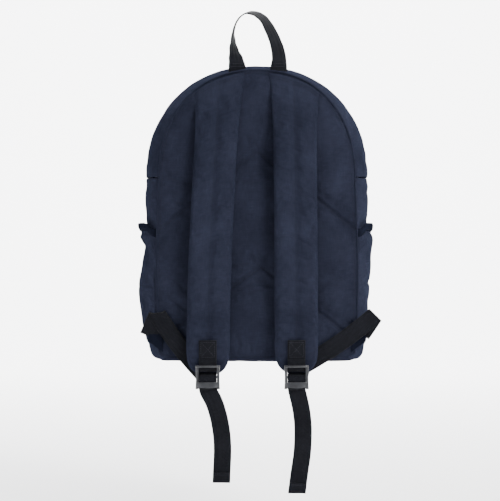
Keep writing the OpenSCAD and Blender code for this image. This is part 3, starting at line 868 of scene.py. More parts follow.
def buildMainZip():
    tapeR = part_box("zip_tape_rear")[1].x - zipKit["tape"] / 2
    gap, sewnIn = zipKit["tapeGap"], zipKit["sewnIn"]
    for name, y0, y1, body in (("Rear", rearTapeY - sewnIn, zipY - gap, "bag"),
                               ("Front", zipY + gap, frontTapeY + sewnIn, "flap")):
        trim = 0.0 if body == "bag" else 0.0025

        def place(p, q):
            y = mix(y0, y1, q)
            angle = math.pi * mix(trim, 1 - trim, p)
            r = tapeR + 0.25 * mm * math.sin(70 * p)
            return at(-r * math.cos(angle), y, foldH + r * math.sin(angle))

        bm = clothGrid(150, 6, place, (0.012, math.pi * zipR), away=bagMiddle)
        obj = finishMesh("mainZipTape" + name, bm, zipTapeCloth)
        addThickness(obj, zipKit["tape"], offset=0)
        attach(obj, body)
        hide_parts("zip_tape_" + name.lower())
        side = -1 if body == "bag" else 1
        teeth("mainZipCoil" + name, domeZipFrames(side, tapeR + zipKit["coilRise"]), body,
              "zip_coil_" + name.lower())


def buildPocketZip():
    low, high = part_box("pocket_zip_tapes")
    middleY = (low.y + high.y) / 2
    length = high.x - low.x
    gap, sewnIn = zipKit["tapeGap"], zipKit["sewnIn"]
    bm = bmesh.new()
    for y0, y1 in ((low.y - sewnIn, middleY - gap), (middleY + gap, high.y + sewnIn)):
        made = bmesh.ops.create_grid(bm, x_segments=60, y_segments=4, size=0.5)
        for v in made["verts"]:
            v.co = Vector((v.co.x * (length + 2 * sewnIn), mix(y0, y1, v.co.y + 0.5), (low.z + high.z) / 2
                           + 0.3 * mm * math.sin(v.co.x * 40)))
    uvLayer = bm.loops.layers.uv.new("clothMap")
    for face in bm.faces:
        for loop in face.loops:
            loop[uvLayer].uv = (loop.vert.co.y, loop.vert.co.x)
    obj = finishMesh("pocketZipTapes", bm, zipTapeCloth)
    addThickness(obj, zipKit["tape"], offset=0)
    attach(obj, "bag")
    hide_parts("pocket_zip_tapes")
    frames = []
    for k in range(int(length / zipKit["pitch"])):
        for side in (-1, 1):
            x = low.x + (k + 0.5 + side * 0.25) * zipKit["pitch"]
            frames.append((Vector((x, middleY + side * zipKit["coilApart"], high.z + 0.7 * mm)), Vector((1, 0, 0)),
                           Vector((0, 1, 0)), Vector((0, 0, 1))))
    teeth("pocketZipCoils", frames, "bag", "pocket_zip_coils")


buildMainZip()
buildPocketZip()
for nodeName in ("main_slider_left", "main_slider_right", "main_pull_left", "main_pull_right", "pocket_slider",
                 "pocket_pull"):
    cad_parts[nodeName].data.materials.clear()
    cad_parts[nodeName].data.materials.append(sliderMetal)
print("zips ready")


# Front pocket

def buildFrontPocket():
    low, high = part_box("front_pocket_gusset")
    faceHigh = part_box("front_pocket_face")[1].y
    tapeLow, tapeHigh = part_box("pocket_zip_tapes")
    halfX, halfZ = (high.x - low.x) / 2, (high.z - low.z) / 2
    middle = Vector((0, low.y, (high.z + low.z) / 2))
    corner = front["pocketCorner"]
    straightX, straightZ = halfX - corner, halfZ - corner
    arc = corner * math.pi / 2
    total = 4 * (straightX + straightZ + arc)

    def outline(s, inset=0.0):  # once round the pocket from the middle of its base
        r = corner - inset
        s = (s % 1.0) * total
        sides = [(Vector((0, -halfZ)), Vector((1, 0)), straightX),
                 ("arc", Vector((straightX, -straightZ)), -90),
                 (Vector((halfX, -straightZ)), Vector((0, 1)), 2 * straightZ),
                 ("arc", Vector((straightX, straightZ)), 0),
                 (Vector((straightX, halfZ)), Vector((-1, 0)), 2 * straightX),
                 ("arc", Vector((-straightX, straightZ)), 90),
                 (Vector((-halfX, straightZ)), Vector((0, -1)), 2 * straightZ),
                 ("arc", Vector((-straightX, -straightZ)), 180),
                 (Vector((-straightX, -halfZ)), Vector((1, 0)), straightX)]
        for piece in sides:
            length = arc if piece[0] == "arc" else piece[2]
            if s <= length + 1e-9:
                if piece[0] == "arc":
                    angle = math.radians(piece[2] + 90 * s / arc)
                    return piece[1] + Vector((math.cos(angle), math.sin(angle))) * r
                p = piece[0] + piece[1] * s
                out = Vector((piece[1].y, -piece[1].x))
                return p - out * inset
            s -= length
        return Vector((0, -halfZ))

    depth = faceHigh - low.y
    inset = front["pocketRound"]

    def gusset(p, q):
        turned = clamp((q - 0.8) / 0.2)
        o = outline(p, inset * (1 - math.sqrt(max(0, 1 - turned ** 2))))
        return middle + Vector((o.x, depth * q - 1.5 * mm * (q == 0), o.y))

    bm = clothGrid(220, 20, gusset, (total, depth), away=middle + Vector((0, depth / 2, 0)))
    slot = [f for f in bm.faces if tapeLow.x - 2 * mm < f.calc_center_median().x < tapeHigh.x + 2 * mm
            and tapeLow.y < f.calc_center_median().y < tapeHigh.y
            and f.calc_center_median().z > middle.z + halfZ - 8 * mm]
    bmesh.ops.delete(bm, geom=slot, context="FACES")
    bm.normal_update()
    for v in bm.verts:
        v.co += v.normal * crumple(v.co, 24) * smooth((v.co.y - middle.y) / 0.01)
    obj = finishMesh("frontPocketGusset", bm, [navyCloth, liningCloth])
    addThickness(obj, front["pocketWall"], inner=1)
    addSubdivision(obj)
    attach(obj, "bag")
    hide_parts("front_pocket_gusset")

    def face(p, q):
        o = outline(p, inset)
        r = 1 - q
        x, z = o.x * r, o.y * r
        crown = front["pocketCrown"] * (1 - r ** 2.5)
        return middle + Vector((x, depth + crown, z))

    def edge(co):
        d = co - middle
        return min(halfX - inset - abs(d.x), halfZ - inset - abs(d.z))

    wallPiece("frontPocketFace", 200, 44, face, None, edge, ["front_pocket_face"], thickness=front["pocketWall"])

    ring = [outline(k / 200, inset) for k in range(200)]
    rim = [middle + Vector((o.x, depth + 0.2 * mm, o.y)) for o in ring]
    bead = tube("frontPocketPiping", rim, front["piping"], trimCloth, 8)
    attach(bead, "bag")


buildFrontPocket()
print("front pocket ready")


# Side pockets

# Stand-off from the side panel (height above the base, gap), as each pocket hangs.
sidePocket = {
    "Left": ((0.016, 2.5), (0.055, 8.5), (0.105, 11.5), (0.152, 4.0), (0.178, 11.0), (0.195, 16.0)),
    "Right": ((0.016, 1.5), (0.083, 2.2), (0.105, 3.0), (0.14, 6.0), (0.178, 9.5), (0.195, 11.0)),
    "bottom": 16 * mm, "top": 195 * mm, "y0": 1.5 * mm, "y1": 113 * mm, "hem": 12 * mm, "thick": 1.5 * mm,
    "pressure": 1.2, "grow": 0.03, "cap": 4 * mm}


def fromTable(table, v):
    if v <= table[0][0]:
        return table[0][1]
    for (a, ya), (b, yb) in zip(table, table[1:]):
        if v <= b:
            return mix(ya, yb, smooth((v - a) / (b - a)))
    return table[-1][1]


def pocketPoint(side, name, p, z, lift=0.0):
    y = mix(sidePocket["y0"], sidePocket["y1"], p)
    gap = fromTable(sidePocket[name], z) * mm * math.sqrt(max(0, math.sin(math.pi * p))) ** 1.2 + 0.6 * mm
    nearTop = smooth((z - 0.13) / 0.06)
    gather = 0.7 * mm * math.sin(p * 84 + 3 * math.sin(z * 60)) * nearTop * math.sin(math.pi * p)
    slump = 1.6 * mm * noise.noise(Vector((p * 3.2 - z * 14, z * 26 + p * 2.5, side * 4.0))) * math.sin(math.pi * p)
    return at(side * (sideX(halfWidth(y), z) + gap + gather + slump + lift), y, z)


def pocketTop(p):  # the hem starts lower at the back seam
    return sidePocket["top"] - 9 * mm * (1 - smooth(p / 0.22))


def buildSidePocket(side, name):
    hemH = sidePocket["hem"]

    def place(p, q):
        return pocketPoint(side, name, p, mix(sidePocket["bottom"], pocketTop(p) - hemH * 0.6, q))

    def pins(co):
        y, z = co.y - backY, co.z - baseZ
        p = (y - sidePocket["y0"]) / (sidePocket["y1"] - sidePocket["y0"])
        edge = min(p, 1 - p) * 0.11
        sewn = edge < 2.5 * mm or z < sidePocket["bottom"] + 2 * mm or z > pocketTop(p) - hemH * 0.9
        return 1.0 if sewn else 0.0

    bm = clothGrid(72, 76, place, (0.115, 0.175), away=bagMiddle)
    obj = finishMesh("sidePocket" + name, bm, [navyCloth, liningCloth])
    relaxCloth(obj, pins, sidePocket["pressure"], sidePocket["grow"], sidePocket["cap"], bending=0.35)
    addThickness(obj, sidePocket["thick"], inner=1)
    addSubdivision(obj)
    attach(obj, "bag")
    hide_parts("side_pocket_" + name.lower())

    def hem(p, q):  # a folded band over the elastic
        angle = 2 * math.pi * q
        top = pocketTop(p)
        z = top - hemH / 2 + math.cos(angle) * hemH / 2
        lift = 0.4 * mm - math.sin(angle) * 1.7 * mm * abs(math.sin(angle)) ** 0.1
        return pocketPoint(side, name, p, min(z, top), lift)

    bm = clothGrid(110, 18, hem, (0.13, 0.03), ring=True, caps=True)
    band = finishMesh("sidePocketHem" + name, bm, trimCloth)
    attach(band, "bag")
    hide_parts("pocket_hem_" + name.lower())
    tree = surfaceOf(band)
    bm = bmesh.new()
    line = [pocketPoint(side, name, p, pocketTop(p) - hemH + 2.2 * mm) for p in np.linspace(0.03, 0.97, 40)]
    sewOn(bm, tree, polyline(line, 3 * mm), Vector((-side, 0, 0)))
    stitches = finishMesh("sidePocketStitches" + name, bm, threadMaterial)
    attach(stitches, "bag")


buildSidePocket(-1, "Left")
buildSidePocket(1, "Right")
print("side pockets ready")


# Shoulder straps

strap = {"thick": 13 * mm, "half": 31 * mm, "rootHalf": 36 * mm, "rootX": 53 * mm, "topGap": 3 * mm,
         "tipStart": 0.86, "tipCut": 0.82, "rootThick": 0.42, "rootReach": 0.15, "blendLong": 62 * mm,
         "rows": 170, "around": 52, "channel": 1.5 * mm, "pressure": 6.0, "grow": 0.035, "cap": 2.6 * mm,
         "frames": 16, "faceStart": -2.4 * mm, "faceEnd": -7.2 * mm, "bow": 10 * mm}
straps = {"Left": {"side": -1, "endX": 70 * mm, "endZ": -22 * mm, "creases": ((0.30, 0.9), (0.12, 1.0))},
          "Right": {"side": 1, "endX": 56 * mm, "endZ": -20 * mm,
                    "creases": ((0.223, 1.3), (0.165, 1.5), (0.152, 1.2))}}


def strapFace(u):  # depth of the inner face
    return mix(strap["faceStart"], strap["faceEnd"], min(1, u / 0.6)) - strap["bow"] * math.sin(math.pi * u)


def tipShare(u):  # 0 until the strap starts to narrow, 1 at its end
    return max(0.0, (u - strap["tipStart"]) / (1 - strap["tipStart"]))


def strapHalf(u):
    body = strap["half"] + (strap["rootHalf"] - strap["half"]) * (1 - min(1, u / 0.25)) ** 2
    return body * math.sqrt(1 - strap["tipCut"] * tipShare(u) ** 5)


def strapSwell(v, u):
    pads = 0.42 + 0.58 * math.sqrt(max(0, 1 - (2 * abs(v) - 1) ** 4))
    tipped = 1 - 0.3 * tipShare(u)
    rooted = mix(strap["rootThick"], 1.0, smooth(u / strap["rootReach"]))
    return strap["thick"] / 2 * pads * tipped * rooted


def strapPoint(name, p, u):
    facts = straps[name]
    xc = facts["side"] * mix(strap["rootX"], facts["endX"], math.sin(math.pi / 2 * u))
    c, s = math.cos(2 * math.pi * p), math.sin(2 * math.pi * p)
    v = power(c, 0.72)
    half = strapHalf(u)
    x = xc + v * half
    z0 = backTop(x) - strap["topGap"]
    z = mix(z0, facts["endZ"], u)
    swell = strapSwell(v, u) * math.sqrt(max(0, 1 - abs(v) ** 9))
    if abs(s) > 1e-6:
        groove = math.exp(-(v * half / (2.4 * mm)) ** 2)
        swell -= strap["channel"] * groove * smooth(u / 0.05) * (1.0 if s < 0 else 0.5)
        for cz, depth in facts["creases"]:
            lean = cz + 0.012 * math.sin(v * 2 + cz * 90)
            swell -= 0.8 * mm * depth * math.exp(-((z - lean) / (3.2 * mm)) ** 2) * (1 - 0.5 * abs(v))
    middle = strapFace(u) - strap["thick"] / 2
    middle = mix(-2.6 * mm, middle, smooth(u / 0.11))
    return at(x, middle + math.copysign(max(swell, 0), s), z)


def buildStrap(name):
    facts = straps[name]
    bm = clothGrid(strap["around"], strap["rows"], lambda p, q: strapPoint(name, p, q), (0.15, 0.43), ring=True,
                   caps=True)
    bm.normal_update()
    for face in bm.faces:
        face.material_index = 1 if face.normal.y > 0.35 else 0
    for v in bm.verts:
        v.co += v.normal * crumple(v.co, 26, 0.35 * mm)
    obj = finishMesh("strapPad" + name, bm, [strapCloth, meshCloth])

    def pins(co):
        z = co.z - baseZ
        u = clamp((0.40 - z) / 0.42)
        xc = facts["side"] * mix(strap["rootX"], facts["endX"], math.sin(math.pi / 2 * u))
        across = abs(co.x - xc)
        atEnds = z > backTop(co.x) - 16 * mm or z < facts["endZ"] + 16 * mm
        onSeams = across < 1.6 * mm or across > strapHalf(u) - 3 * mm
        return 1.0 if atEnds or onSeams else 0.0

    relaxCloth(obj, pins, strap["pressure"], strap["grow"], strap["cap"], strap["frames"], bending=0.25)
    addSubdivision(obj)
    applyModifiers(obj)
    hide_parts("strap_fabric_" + name.lower(), "strap_foam_" + name.lower(), "strap_mesh_" + name.lower())
    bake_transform(obj)

    tree = surfaceOf(obj)
    bm = bmesh.new()
    channel = [strapPoint(name, 0.75, u) for u in np.linspace(0.02, 0.9, 90)]
    sewOn(bm, tree, polyline(channel, 3 * mm), Vector((0, 1, 0)))
    for drop in (5.5 * mm, 9 * mm):
        row = []
        for v in np.linspace(-0.9, 0.9, 18):
            p = strapPoint(name, 0.75, 0.0)
            x = p.x + v * strap["rootHalf"]
            row.append(Vector((x, p.y, baseZ + backTop(x) - strap["topGap"] - drop)))
        sewOn(bm, tree, polyline(row, 3 * mm), Vector((0, 1, 0)))
    stitches = finishMesh("strapStitches" + name, bm, threadMaterial)
    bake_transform(stitches)
    return tree


strapTrees = {name: buildStrap(name) for name in straps}
print("straps ready")


# Ladder locks with their loops and tails

web = {"width": 25 * mm, "thick": 1.6 * mm, "barR": 1.9 * mm, "lockW": 35 * mm, "lockH": 34 * mm, "lockT": 5 * mm,
       "midBar": -15.3 * mm, "lowBar": -29.2 * mm, "loopR": 3.0 * mm, "slackR": 6.4 * mm,
       "railBevel": 1.1 * mm, "rimOut": 1.9 * mm, "rimR": 1.5 * mm, "lipThick": 1.5 * mm}


def steadyFrames(points, across):  # across is one width direction, or one for every point
    frames = []
    for k, p in enumerate(points):
        run = (points[min(k + 1, len(points) - 1)] - points[max(k - 1, 0)]).normalized()
        wide = across[k] if isinstance(across, list) else across
        wide = (wide - run * wide.dot(run)).normalized()
        frames.append((p, wide, run.cross(wide)))
    return frames


def evenly(points, step):
    out = [points[0]]
    for a, b in zip(points, points[1:]):
        n = max(1, round((b - a).length / step))
        out += [a.lerp(b, k / n) for k in range(1, n + 1)]
    return out


def curveThrough(points, step):  # a smooth path through points
    ends = [points[0] * 2 - points[1]] + list(points) + [points[-1] * 2 - points[-2]]
    out = []
    for a, b, c, d in zip(ends, ends[1:], ends[2:], ends[3:]):
        n = max(2, round((c - b).length / step))
        for k in range(n):
            t = k / n
            out.append(0.5 * ((2 * b) + (c - a) * t + (2 * a - 5 * b + 4 * c - d) * t * t
                              + (3 * b - a - 3 * c + d) * t * t * t))
    return out + [points[-1]]


def rodBetween(bm, a, b, radius, flat):  # a round bar along x; flat squeezes its depth
    made = bmesh.ops.create_cone(bm, cap_ends=True, segments=20, radius1=radius, radius2=radius, depth=1)
    for v in made["verts"]:
        c = v.co.copy()
        v.co = (a + b) / 2 + Vector((c.z * (b.x - a.x), c.y * flat, c.x))


def buildLock(name):
    side = name.lower()
    low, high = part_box("ladder_lock_" + side)
    hub = Vector(((low.x + high.x) / 2, (low.y + high.y) / 2, high.z - web["barR"]))
    rail = (web["lockW"] - web["width"]) / 2 - 0.3 * mm
    bm = bmesh.new()
    for s in (-1, 1):
        made = bmesh.ops.create_grid(bm, x_segments=1, y_segments=14, size=1)
        for v in made["verts"]:
            q = (v.co.y + 1) / 2
            z = mix(-web["lockH"] + web["barR"], web["barR"], q)
            waist = 0.7 * mm * math.sin(math.pi * q)
            outer = web["lockW"] / 2 - waist
            inner = web["lockW"] / 2 - rail
            x = outer if v.co.x > 0 else inner
            v.co = hub + Vector((s * x, -web["lockT"] / 2, z))
        sheet = [f for f in bm.faces if all(v in made["verts"] for v in f.verts)]
        top = bmesh.ops.extrude_face_region(bm, geom=sheet)
        moved = [g for g in top["geom"] if isinstance(g, bmesh.types.BMVert)]
        bmesh.ops.translate(bm, verts=moved, vec=Vector((0, web["lockT"], 0)))
    bmesh.ops.recalc_face_normals(bm, faces=bm.faces)
    corners = [e for e in bm.edges if len(e.link_faces) == 2 and e.calc_face_angle() > 1.0]
    bmesh.ops.bevel(bm, geom=corners, offset=web["railBevel"], segments=3, affect="EDGES", profile=0.5, material=-1)
    reach = Vector((web["lockW"] / 2 - rail * 0.6, 0, 0))
    for z, flat in ((0.0, 1.0), (web["midBar"], 1.15), (web["lowBar"], 1.0)):
        rodBetween(bm, hub + Vector((0, 0, z)) - reach, hub + Vector((0, 0, z)) + reach, web["barR"], flat)
    rim = hub + Vector((0, -web["lockT"] / 2 - web["rimOut"], 0.2 * mm))
    rimHalf = Vector((web["lockW"] / 2 - 0.6 * mm, 0, 0))
    rodBetween(bm, rim - rimHalf, rim + rimHalf, web["rimR"], 0.5)
    for s in (-1, 1):
        made = bmesh.ops.create_cube(bm, size=1)
        for v in made["verts"]:
            v.co = Vector((v.co.x * (rail - 0.4 * mm), v.co.y * 3.0 * mm, v.co.z * 3.2 * mm)) \
                + hub + Vector((s * (web["lockW"] / 2 - rail / 2 - 0.2 * mm), -web["lockT"] / 2 - 0.9 * mm, 0))
    lip = bmesh.ops.create_grid(bm, x_segments=24, y_segments=8, size=1)
    lipVerts = set(lip["verts"])
    for v in lip["verts"]:
        p, q = v.co.x, (v.co.y + 1) / 2
        x = p * (web["lockW"] / 2 - 1.2 * mm)
        bow = (1 - abs(p) ** 4)
        z = mix(web["lowBar"] + 7.2 * mm, web["lowBar"] + 0.6 * mm, q) - 1.8 * mm * (1 - p * p) * q
        y = -web["lockT"] / 2 + 0.6 * mm - (2.6 * mm + 1.6 * mm * q * q) * bow
        v.co = hub + Vector((x, y, z))
    flat = [f for f in bm.faces if all(v in lipVerts for v in f.verts)]
    grown = bmesh.ops.extrude_face_region(bm, geom=flat)
    moved = [g for g in grown["geom"] if isinstance(g, bmesh.types.BMVert)]
    bmesh.ops.translate(bm, verts=moved, vec=Vector((0, -web["lipThick"], 0)))
    bmesh.ops.recalc_face_normals(bm, faces=bm.faces)
    obj = finishMesh("ladderLock" + name, bm, lockPlastic)
    edges = obj.modifiers.new("edges", "BEVEL")
    edges.width = 0.4 * mm
    edges.segments = 2
    edges.limit_method = "ANGLE"
    edges.angle_limit = math.radians(50)
    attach(obj, "lock_" + side)
    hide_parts("ladder_lock_" + side)

    # The adjusting webbing lies over the middle bar.
    around = []
    for k in range(17):
        angle = math.pi * (0.08 + 0.84 * k / 16)
        around.append(Vector((0, math.cos(angle) * web["loopR"] * 1.05, math.sin(angle) * web["loopR"] * 0.95)))
    mid = hub + Vector((0, 0, web["midBar"]))
    path = [mid + Vector((0, 3.6 * mm, -9 * mm))] + [mid + v for v in around] \
        + [mid + Vector((0, -3.1 * mm, -5 * mm)), mid + Vector((0, -2.2 * mm, -9.0 * mm))]
    over = ribbon("lockWebbing" + name, steadyFrames(curveThrough(path, 1 * mm), Vector((1, 0, 0))), web["width"],
                  web["thick"], blackWebbing)
    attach(over, "lock_" + side)
    return hub


def buildBuckleLoop(name, hub):
    tree = strapTrees[name]
    onStrap = []
    for z in np.linspace(27 * mm, -1 * mm, 16):
        y = min(dropOn(tree, at(hub.x + dx, -0.02, z), Vector((0, 1, 0)), 0.03)[0].y
                for dx in (-9 * mm, -5 * mm, 5 * mm, 9 * mm))
        onStrap.append(Vector((hub.x, y - 0.7 * mm, baseZ + z)))
    onStrap[-1].y = min(onStrap[-1].y, hub.y + web["loopR"])
    around = []
    for a in np.linspace(0, -1.32 * math.pi, 26):
        radius = web["slackR"] if a > -math.pi else web["loopR"]
        around.append(hub + Vector((0, math.cos(a) * web["loopR"], math.sin(a) * radius)))
    back = [p - Vector((0, 1.7 * mm, 0)) for p in reversed(onStrap)]
    back[0] = back[0].lerp(around[-1], 0.3) + Vector((0, 0, 1 * mm))
    path = curveThrough(onStrap, 2.5 * mm)[:-1] + around + curveThrough(back, 2.5 * mm)
    obj = ribbon("buckleLoop" + name, steadyFrames(evenly(path, 1.4 * mm), Vector((1, 0, 0))), web["width"],
                 web["thick"], blackWebbing)
    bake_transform(obj)
    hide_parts("buckle_loop_" + name.lower())
    loopTree = surfaceOf(obj)
    bm = bmesh.new()
    top, bottom, half = 24.5 * mm, 3 * mm, 9.8 * mm
    boxed = [(-half, top), (half, top), (half, bottom), (-half, bottom), (-half, top), (half, bottom)]
    crossing = [(half, top), (-half, bottom)]
    for run in (boxed, crossing):
        line = [Vector((hub.x + x, hub.y - 4 * mm, baseZ + z)) for x, z in run]
        sewOn(bm, loopTree, polyline(line, 2.5 * mm), Vector((0, 1, 0)))
    stitches = finishMesh("buckleLoopStitches" + name, bm, webbingThreadPaintedHighlight)
    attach(stitches, "strap_" + name.lower())


# Middle of each tail: (height above the base, place across, turn in degrees, lean off the plane in mm).
tails = {
    "Left": ((-46, -68.5, 1, -0.3), (-60, -61, 5, -2.4), (-75, -56, 6, -3.4), (-90, -52.5, 4, -2.6),
             (-112, -49.5, 1, -0.8), (-135, -49, -1, 0.6), (-158, -50, -2, 0.3), (-173, -50.5, -2, -0.4)),
    "Right": ((-46, 57, -1, -0.2), (-60, 60.4, -5, -2.0), (-75, 63.2, -5, -3.2), (-92, 65.0, -3, -2.8),
              (-112, 65.2, 1, -1.2), (-135, 63.8, 3, 0.6), (-160, 60.2, 3, 0.8), (-188, 56.5, 2, -0.6))}


def buildTail(name, hub):
    bar = hub + Vector((0, 0, web["lowBar"]))
    ringPath = [bar + Vector((0, -math.cos(a) * web["loopR"], math.sin(a) * web["loopR"]))
                for a in np.linspace(0.42 * math.pi, -0.40 * math.pi, 13)]
    hang = [Vector((x * mm, hub.y + lean * mm, baseZ + z * mm)) for z, x, _, lean in tails[name]]
    path = curveThrough(ringPath[-1:] + hang, 2.5 * mm)
    down = (hang[-1] - hang[-2]).normalized()
    end = hang[-1]
    fold = [end + down * math.sin(a) * 1.0 * mm + Vector((0, -1.0 * mm * (1 - math.cos(a)), 0))
            for a in np.linspace(0, math.pi, 9)][1:]
    back = [fold[-1] - down * d * mm for d in (1.5, 5, 9, 13)]
    points = ringPath[:-1] + path + fold + back
    count = len(ringPath) - 1
    across = []
    for k, p in enumerate(points):
        z = (p.z - baseZ) / mm
        turn = 0.0
        for (za, _, ta, _), (zb, _, tb, _) in zip(tails[name], tails[name][1:]):
            if zb <= z <= za:
                turn = mix(ta, tb, (za - z) / (za - zb))
        if z < tails[name][-1][0]:
            turn = tails[name][-1][2]
        a = math.radians(turn) * smooth((k - count) / 8)
        across.append(Vector((math.cos(a), math.sin(a), 0)))
    frames = steadyFrames(points, across)
    obj = ribbon("webbingTail" + name, frames, web["width"], web["thick"], blackWebbing)
    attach(obj, "tail_" + name.lower())
    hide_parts("webbing_tail_" + name.lower(), "tail_hem_" + name.lower())
    tree = surfaceOf(obj)
    bm = bmesh.new()
    for rise in (9.5 * mm, 11.5 * mm):
        middle = end - down * rise
        wide = across[-1]
        line = [middle + wide * s * 10.5 * mm - Vector((0, 6 * mm, 0)) for s in (-1, 1)]
        sewOn(bm, tree, polyline(line, 2.5 * mm), Vector((0, 1, 0)))
    stitches = finishMesh("tailStitches" + name, bm, webbingThreadPaintedHighlight)
    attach(stitches, "tail_" + name.lower())


hubs = {}
for name in straps:
    hubs[name] = buildLock(name)
    buildBuckleLoop(name, hubs[name])
    buildTail(name, hubs[name])
print("locks and tails ready")


# Lower webbing and its anchors

lower = {
    "Left": {"sewn": (-156, 32), "fold": (-142.5, 63), "under": (-79, -20)},
    "Right": {"sewn": (150, 34), "fold": (168, 61), "under": (65, -11)}}


def buildLowerWebbing(name, hub):
    facts = lower[name]
    side = straps[name]["side"]
    sewn, fold, under = (Vector((x * mm, 0, z * mm)) for x, z in (facts["sewn"], facts["fold"], facts["under"]))
    up = (fold - sewn).normalized()
    away = (under - fold).normalized()
    crease = (up + away).normalized()  # the fold's line bisects the two runs
    acrossUp = Vector((-up.z, 0, up.x)) * side
    acrossAway = Vector((-away.z, 0, away.x)) * side
    if acrossUp.dot(crease) < 0:
        acrossUp.negate()
    if acrossAway.dot(crease) < 0:
        acrossAway.negate()
    layers = (-3.9 * mm, -6.1 * mm)
    points, across = [], []
    for t in np.linspace(0, 1, 14):
        p = sewn.lerp(fold, t)
        points.append(at(p.x, mix(-1.5 * mm, layers[0], smooth(t * 2)) - 1.4 * mm * math.sin(math.pi * t), p.z))
        across.append(acrossUp.lerp(crease, smooth((t - 0.55) / 0.45)))
    turnRadius = (layers[0] - layers[1]) / 2
    outward = (up - away).normalized()
    for a in np.linspace(0, math.pi, 9)[1:-1]:
        p = fold + outward * math.sin(a) * turnRadius * 1.6
        points.append(at(p.x, layers[0] - turnRadius * (1 - math.cos(a)), p.z))
        across.append(crease)
    for t in np.linspace(0, 1, 34):
        p = fold.lerp(under, t)
        droop = 4 * mm * math.sin(math.pi * t)
        lift = 1.8 * mm * math.sin(math.pi * smooth(t / 0.6))
        points.append(at(p.x, layers[1] - lift * (t < 0.6), p.z - droop))
        across.append(crease.lerp(acrossAway, smooth(t / 0.3)))
    # Steps of the turn into the lock in millimetres: outwards from the hub, depth, height.
    turnIn = ((4, -7.4, -27), (1.5, -9.6, -33), (0, -14.5, -35.6), (0, -20.0, -33.0), (0, -23.0, -26.0),
              (0, -23.0, -18.6))
    inside = [at(hub.x + dx * side * mm, y * mm, z * mm) for dx, y, z in turnIn]
    smoothPart = curveThrough(points[-2:] + inside, 2 * mm)[2:]
    behindLock = inside[0]
    split = len(points) + min(range(len(smoothPart)), key=lambda k: (smoothPart[k] - behindLock).length)
    for k, p in enumerate(smoothPart):
        points.append(p)
        across.append(acrossAway.lerp(Vector((math.copysign(1, acrossAway.x), 0, 0)), smooth(k / 12)))
    frames = steadyFrames(points, [wide.normalized() for wide in across])
    obj = ribbon("lowerWebbing" + name, frames[:split + 1], web["width"], web["thick"], blackWebbing)
    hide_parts("lower_webbing_" + name.lower())
    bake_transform(obj)
    # The last stretch turns into the lock and follows it.
    end = ribbon("lowerWebbingEnd" + name, frames[split:], web["width"], web["thick"], blackWebbing)
    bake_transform(end)


def buildWing(name):
    side = straps[name]["side"]
    low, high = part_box("anchor_wing_" + name.lower())
    height = high.z - low.z
    middle = (high.z + low.z) / 2
    inner, outer = (low.x, high.x) if side > 0 else (high.x, low.x)

    def place(p, q):
        x = mix(inner, outer + side * 1 * mm, p)
        half = mix(height / 2, height / 6, p)
        z = middle + (2 * q - 1) * half
        y = (low.y + high.y) / 2 - 0.4 * mm + 0.7 * mm * noise.noise(Vector((x * 60, z * 60, 4))) + 1.4 * mm * p * p
        return Vector((x, y, z))

    bm = clothGrid(16, 26, place, (0.022, 0.05))
    obj = finishMesh("anchorWing" + name, bm, trimCloth)
    addThickness(obj, 1.8 * mm, offset=0)
    addSubdivision(obj)
    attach(obj, "bag")
    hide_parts("anchor_wing_" + name.lower())


for name in straps:
    buildLowerWebbing(name, hubs[name])
    buildWing(name)
print("lower webbing ready")


# Grab handle

# Middle of the webbing in millimetres (across, above the base) and its turn from face on.
handle = {"run": ((-28.4, 403, 0), (-28.4, 417, 8), (-30.2, 430, 34), (-33.0, 443, 58), (-34.1, 457, 76),
                  (-33.5, 471, 88), (-28, 486, 93), (-18, 495.4, 98), (-5.5, 496.4, 111), (4, 492.4, 119),
                  (11.5, 485.6, 123), (19.3, 472, 130), (26, 457, 134), (30.2, 443, 141), (32, 430, 146),
                  (31.4, 417, 165), (30.6, 403, 180)),
          "width": 25 * mm, "thick": 2.2 * mm, "sewnTop": 420 * mm, "blendLong": 14 * mm}


def buildHandle():
    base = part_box("grab_handle")[0]
    depth = (base.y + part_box("grab_handle")[1].y) / 2
    places = [Vector((x * mm, depth, baseZ + z * mm)) for x, z, _ in handle["run"]]
    for p in places:
        below = baseZ + handle["sewnTop"] - p.z
        if below > 0:
            p.y = mix(depth, backY + 4.5 * mm, smooth(below / 0.012))
    path = curveThrough(places, 1.8 * mm)
    lengths = [0.0]
    for a, b in zip(places, places[1:]):
        lengths.append(lengths[-1] + (b - a).length)
    frames = []
    run = 0.0
    for k, p in enumerate(path):
        if k > 0:
            run += (p - path[k - 1]).length
        j = 0
        while j < len(lengths) - 2 and lengths[j + 1] < run:
            j += 1
        t = clamp((run - lengths[j]) / (lengths[j + 1] - lengths[j]))
        turn = math.radians(mix(handle["run"][j][2], handle["run"][j + 1][2], smooth(t)))
        along = (path[min(k + 1, len(path) - 1)] - path[max(k - 1, 0)]).normalized()
        inPlane = Vector((0, 1, 0)).cross(along).normalized()
        wide = inPlane * math.cos(turn) + Vector((0, 1, 0)) * math.sin(turn)
        wide = (wide - along * wide.dot(along)).normalized()
        frames.append((p, wide, along.cross(wide)))
    obj = ribbon("grabHandle", frames, handle["width"], handle["thick"], blackWebbing)
    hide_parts("grab_handle")
    tree = surfaceOf(obj)
    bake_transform(obj)
    bm = bmesh.new()
    for sx in (-1, 1):
        for rise in (4 * mm, 8 * mm):
            line = [Vector((sx * 30.5 * mm + s * 10 * mm, depth - 6 * mm, base.z + rise)) for s in (-1, 1)]
            sewOn(bm, tree, polyline(line, 2.5 * mm), Vector((0, 1, 0)))
    # The paler thread on these bar tacks paints the highlight at the foot of each handle leg.
    stitches = finishMesh("handleStitches", bm, webbingThreadPaintedHighlight)
    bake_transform(stitches)


buildHandle()
print("handle ready")


# Floor, light and camera

studio = {"floor": -0.735, "wallY": 5.5, "wallTop": 5.0, "sweep": 2.6, "half": 8.0}


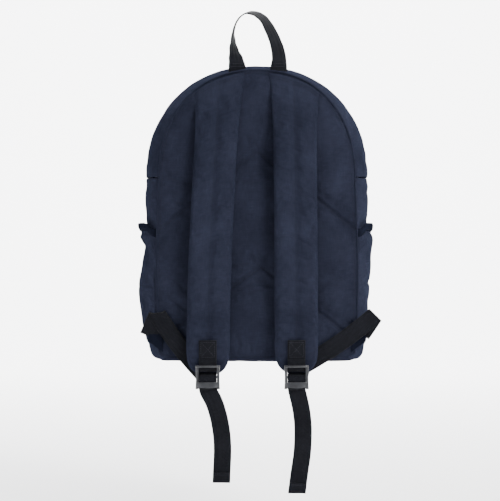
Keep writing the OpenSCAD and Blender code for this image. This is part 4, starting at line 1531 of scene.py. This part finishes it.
def buildFloor():  # a floor that curves up into the wall
    half, low, sweep = studio["half"], studio["floor"], studio["sweep"]
    profile = [(-half, low)]
    for a in np.linspace(0, math.pi / 2, 25):
        profile.append((studio["wallY"] - sweep + sweep * math.sin(a), low + sweep * (1 - math.cos(a))))
    profile.append((studio["wallY"], studio["wallTop"]))
    bm = bmesh.new()
    bmesh.ops.create_grid(bm, x_segments=1, y_segments=len(profile) - 1, size=1)
    for v in bm.verts:
        y, z = profile[round((v.co.y + 1) / 2 * (len(profile) - 1))]
        v.co = (v.co.x * half, y, z)
    obj = finishMesh("studioFloor", bm, newMaterial("paleFloor", (0.86, 0.86, 0.865), 0.75, specular=0.2)[0])


def areaLight(name, place, target, size, watts):
    data = bpy.data.lights.new(name, "AREA")
    data.shape = "RECTANGLE"
    data.size, data.size_y = size
    data.energy = watts
    obj = bpy.data.objects.new(name, data)
    bpy.context.scene.collection.objects.link(obj)
    obj.location = place
    obj.rotation_euler = (Vector(target) - Vector(place)).to_track_quat("-Z", "Y").to_euler()


buildFloor()
middleZ = baseZ + 0.18
areaLight("keyLight", (1.5, -1.5, middleZ + 1.5), (0, 0, middleZ), (0.8, 0.8), 105)
areaLight("fillLight", (-2.0, -1.6, middleZ + 0.5), (0, 0, middleZ), (1.3, 1.6), 24)
areaLight("topLight", (0.2, 0.5, middleZ + 2.0), (0, 0.1, middleZ), (1.8, 1.4), 42)
areaLight("wallLight", (0, 2.7, 3.2), (0, 5.4, -0.3), (7.0, 2.0), 1500)

world = bpy.data.worlds.new("studioWorld")
bpy.context.scene.world = world
world.use_nodes = True
world.node_tree.nodes["Background"].inputs["Color"].default_value = (0.93, 0.95, 1.0, 1)
world.node_tree.nodes["Background"].inputs["Strength"].default_value = 0.6

shot = {"distance": 2.3, "field": 0.719, "x": -0.010, "z": 0.1546}
cameraData = bpy.data.cameras.new("camera")
cameraData.sensor_width = 36
cameraData.lens = 36 * shot["distance"] / shot["field"]
cameraData.clip_start = 0.05
cameraData.clip_end = 30
camera = bpy.data.objects.new("camera", cameraData)
bpy.context.scene.collection.objects.link(camera)
camera.location = (shot["x"], backY - shot["distance"], baseZ + shot["z"])
camera.rotation_euler = (math.pi / 2, 0, 0)
bpy.context.scene.camera = camera
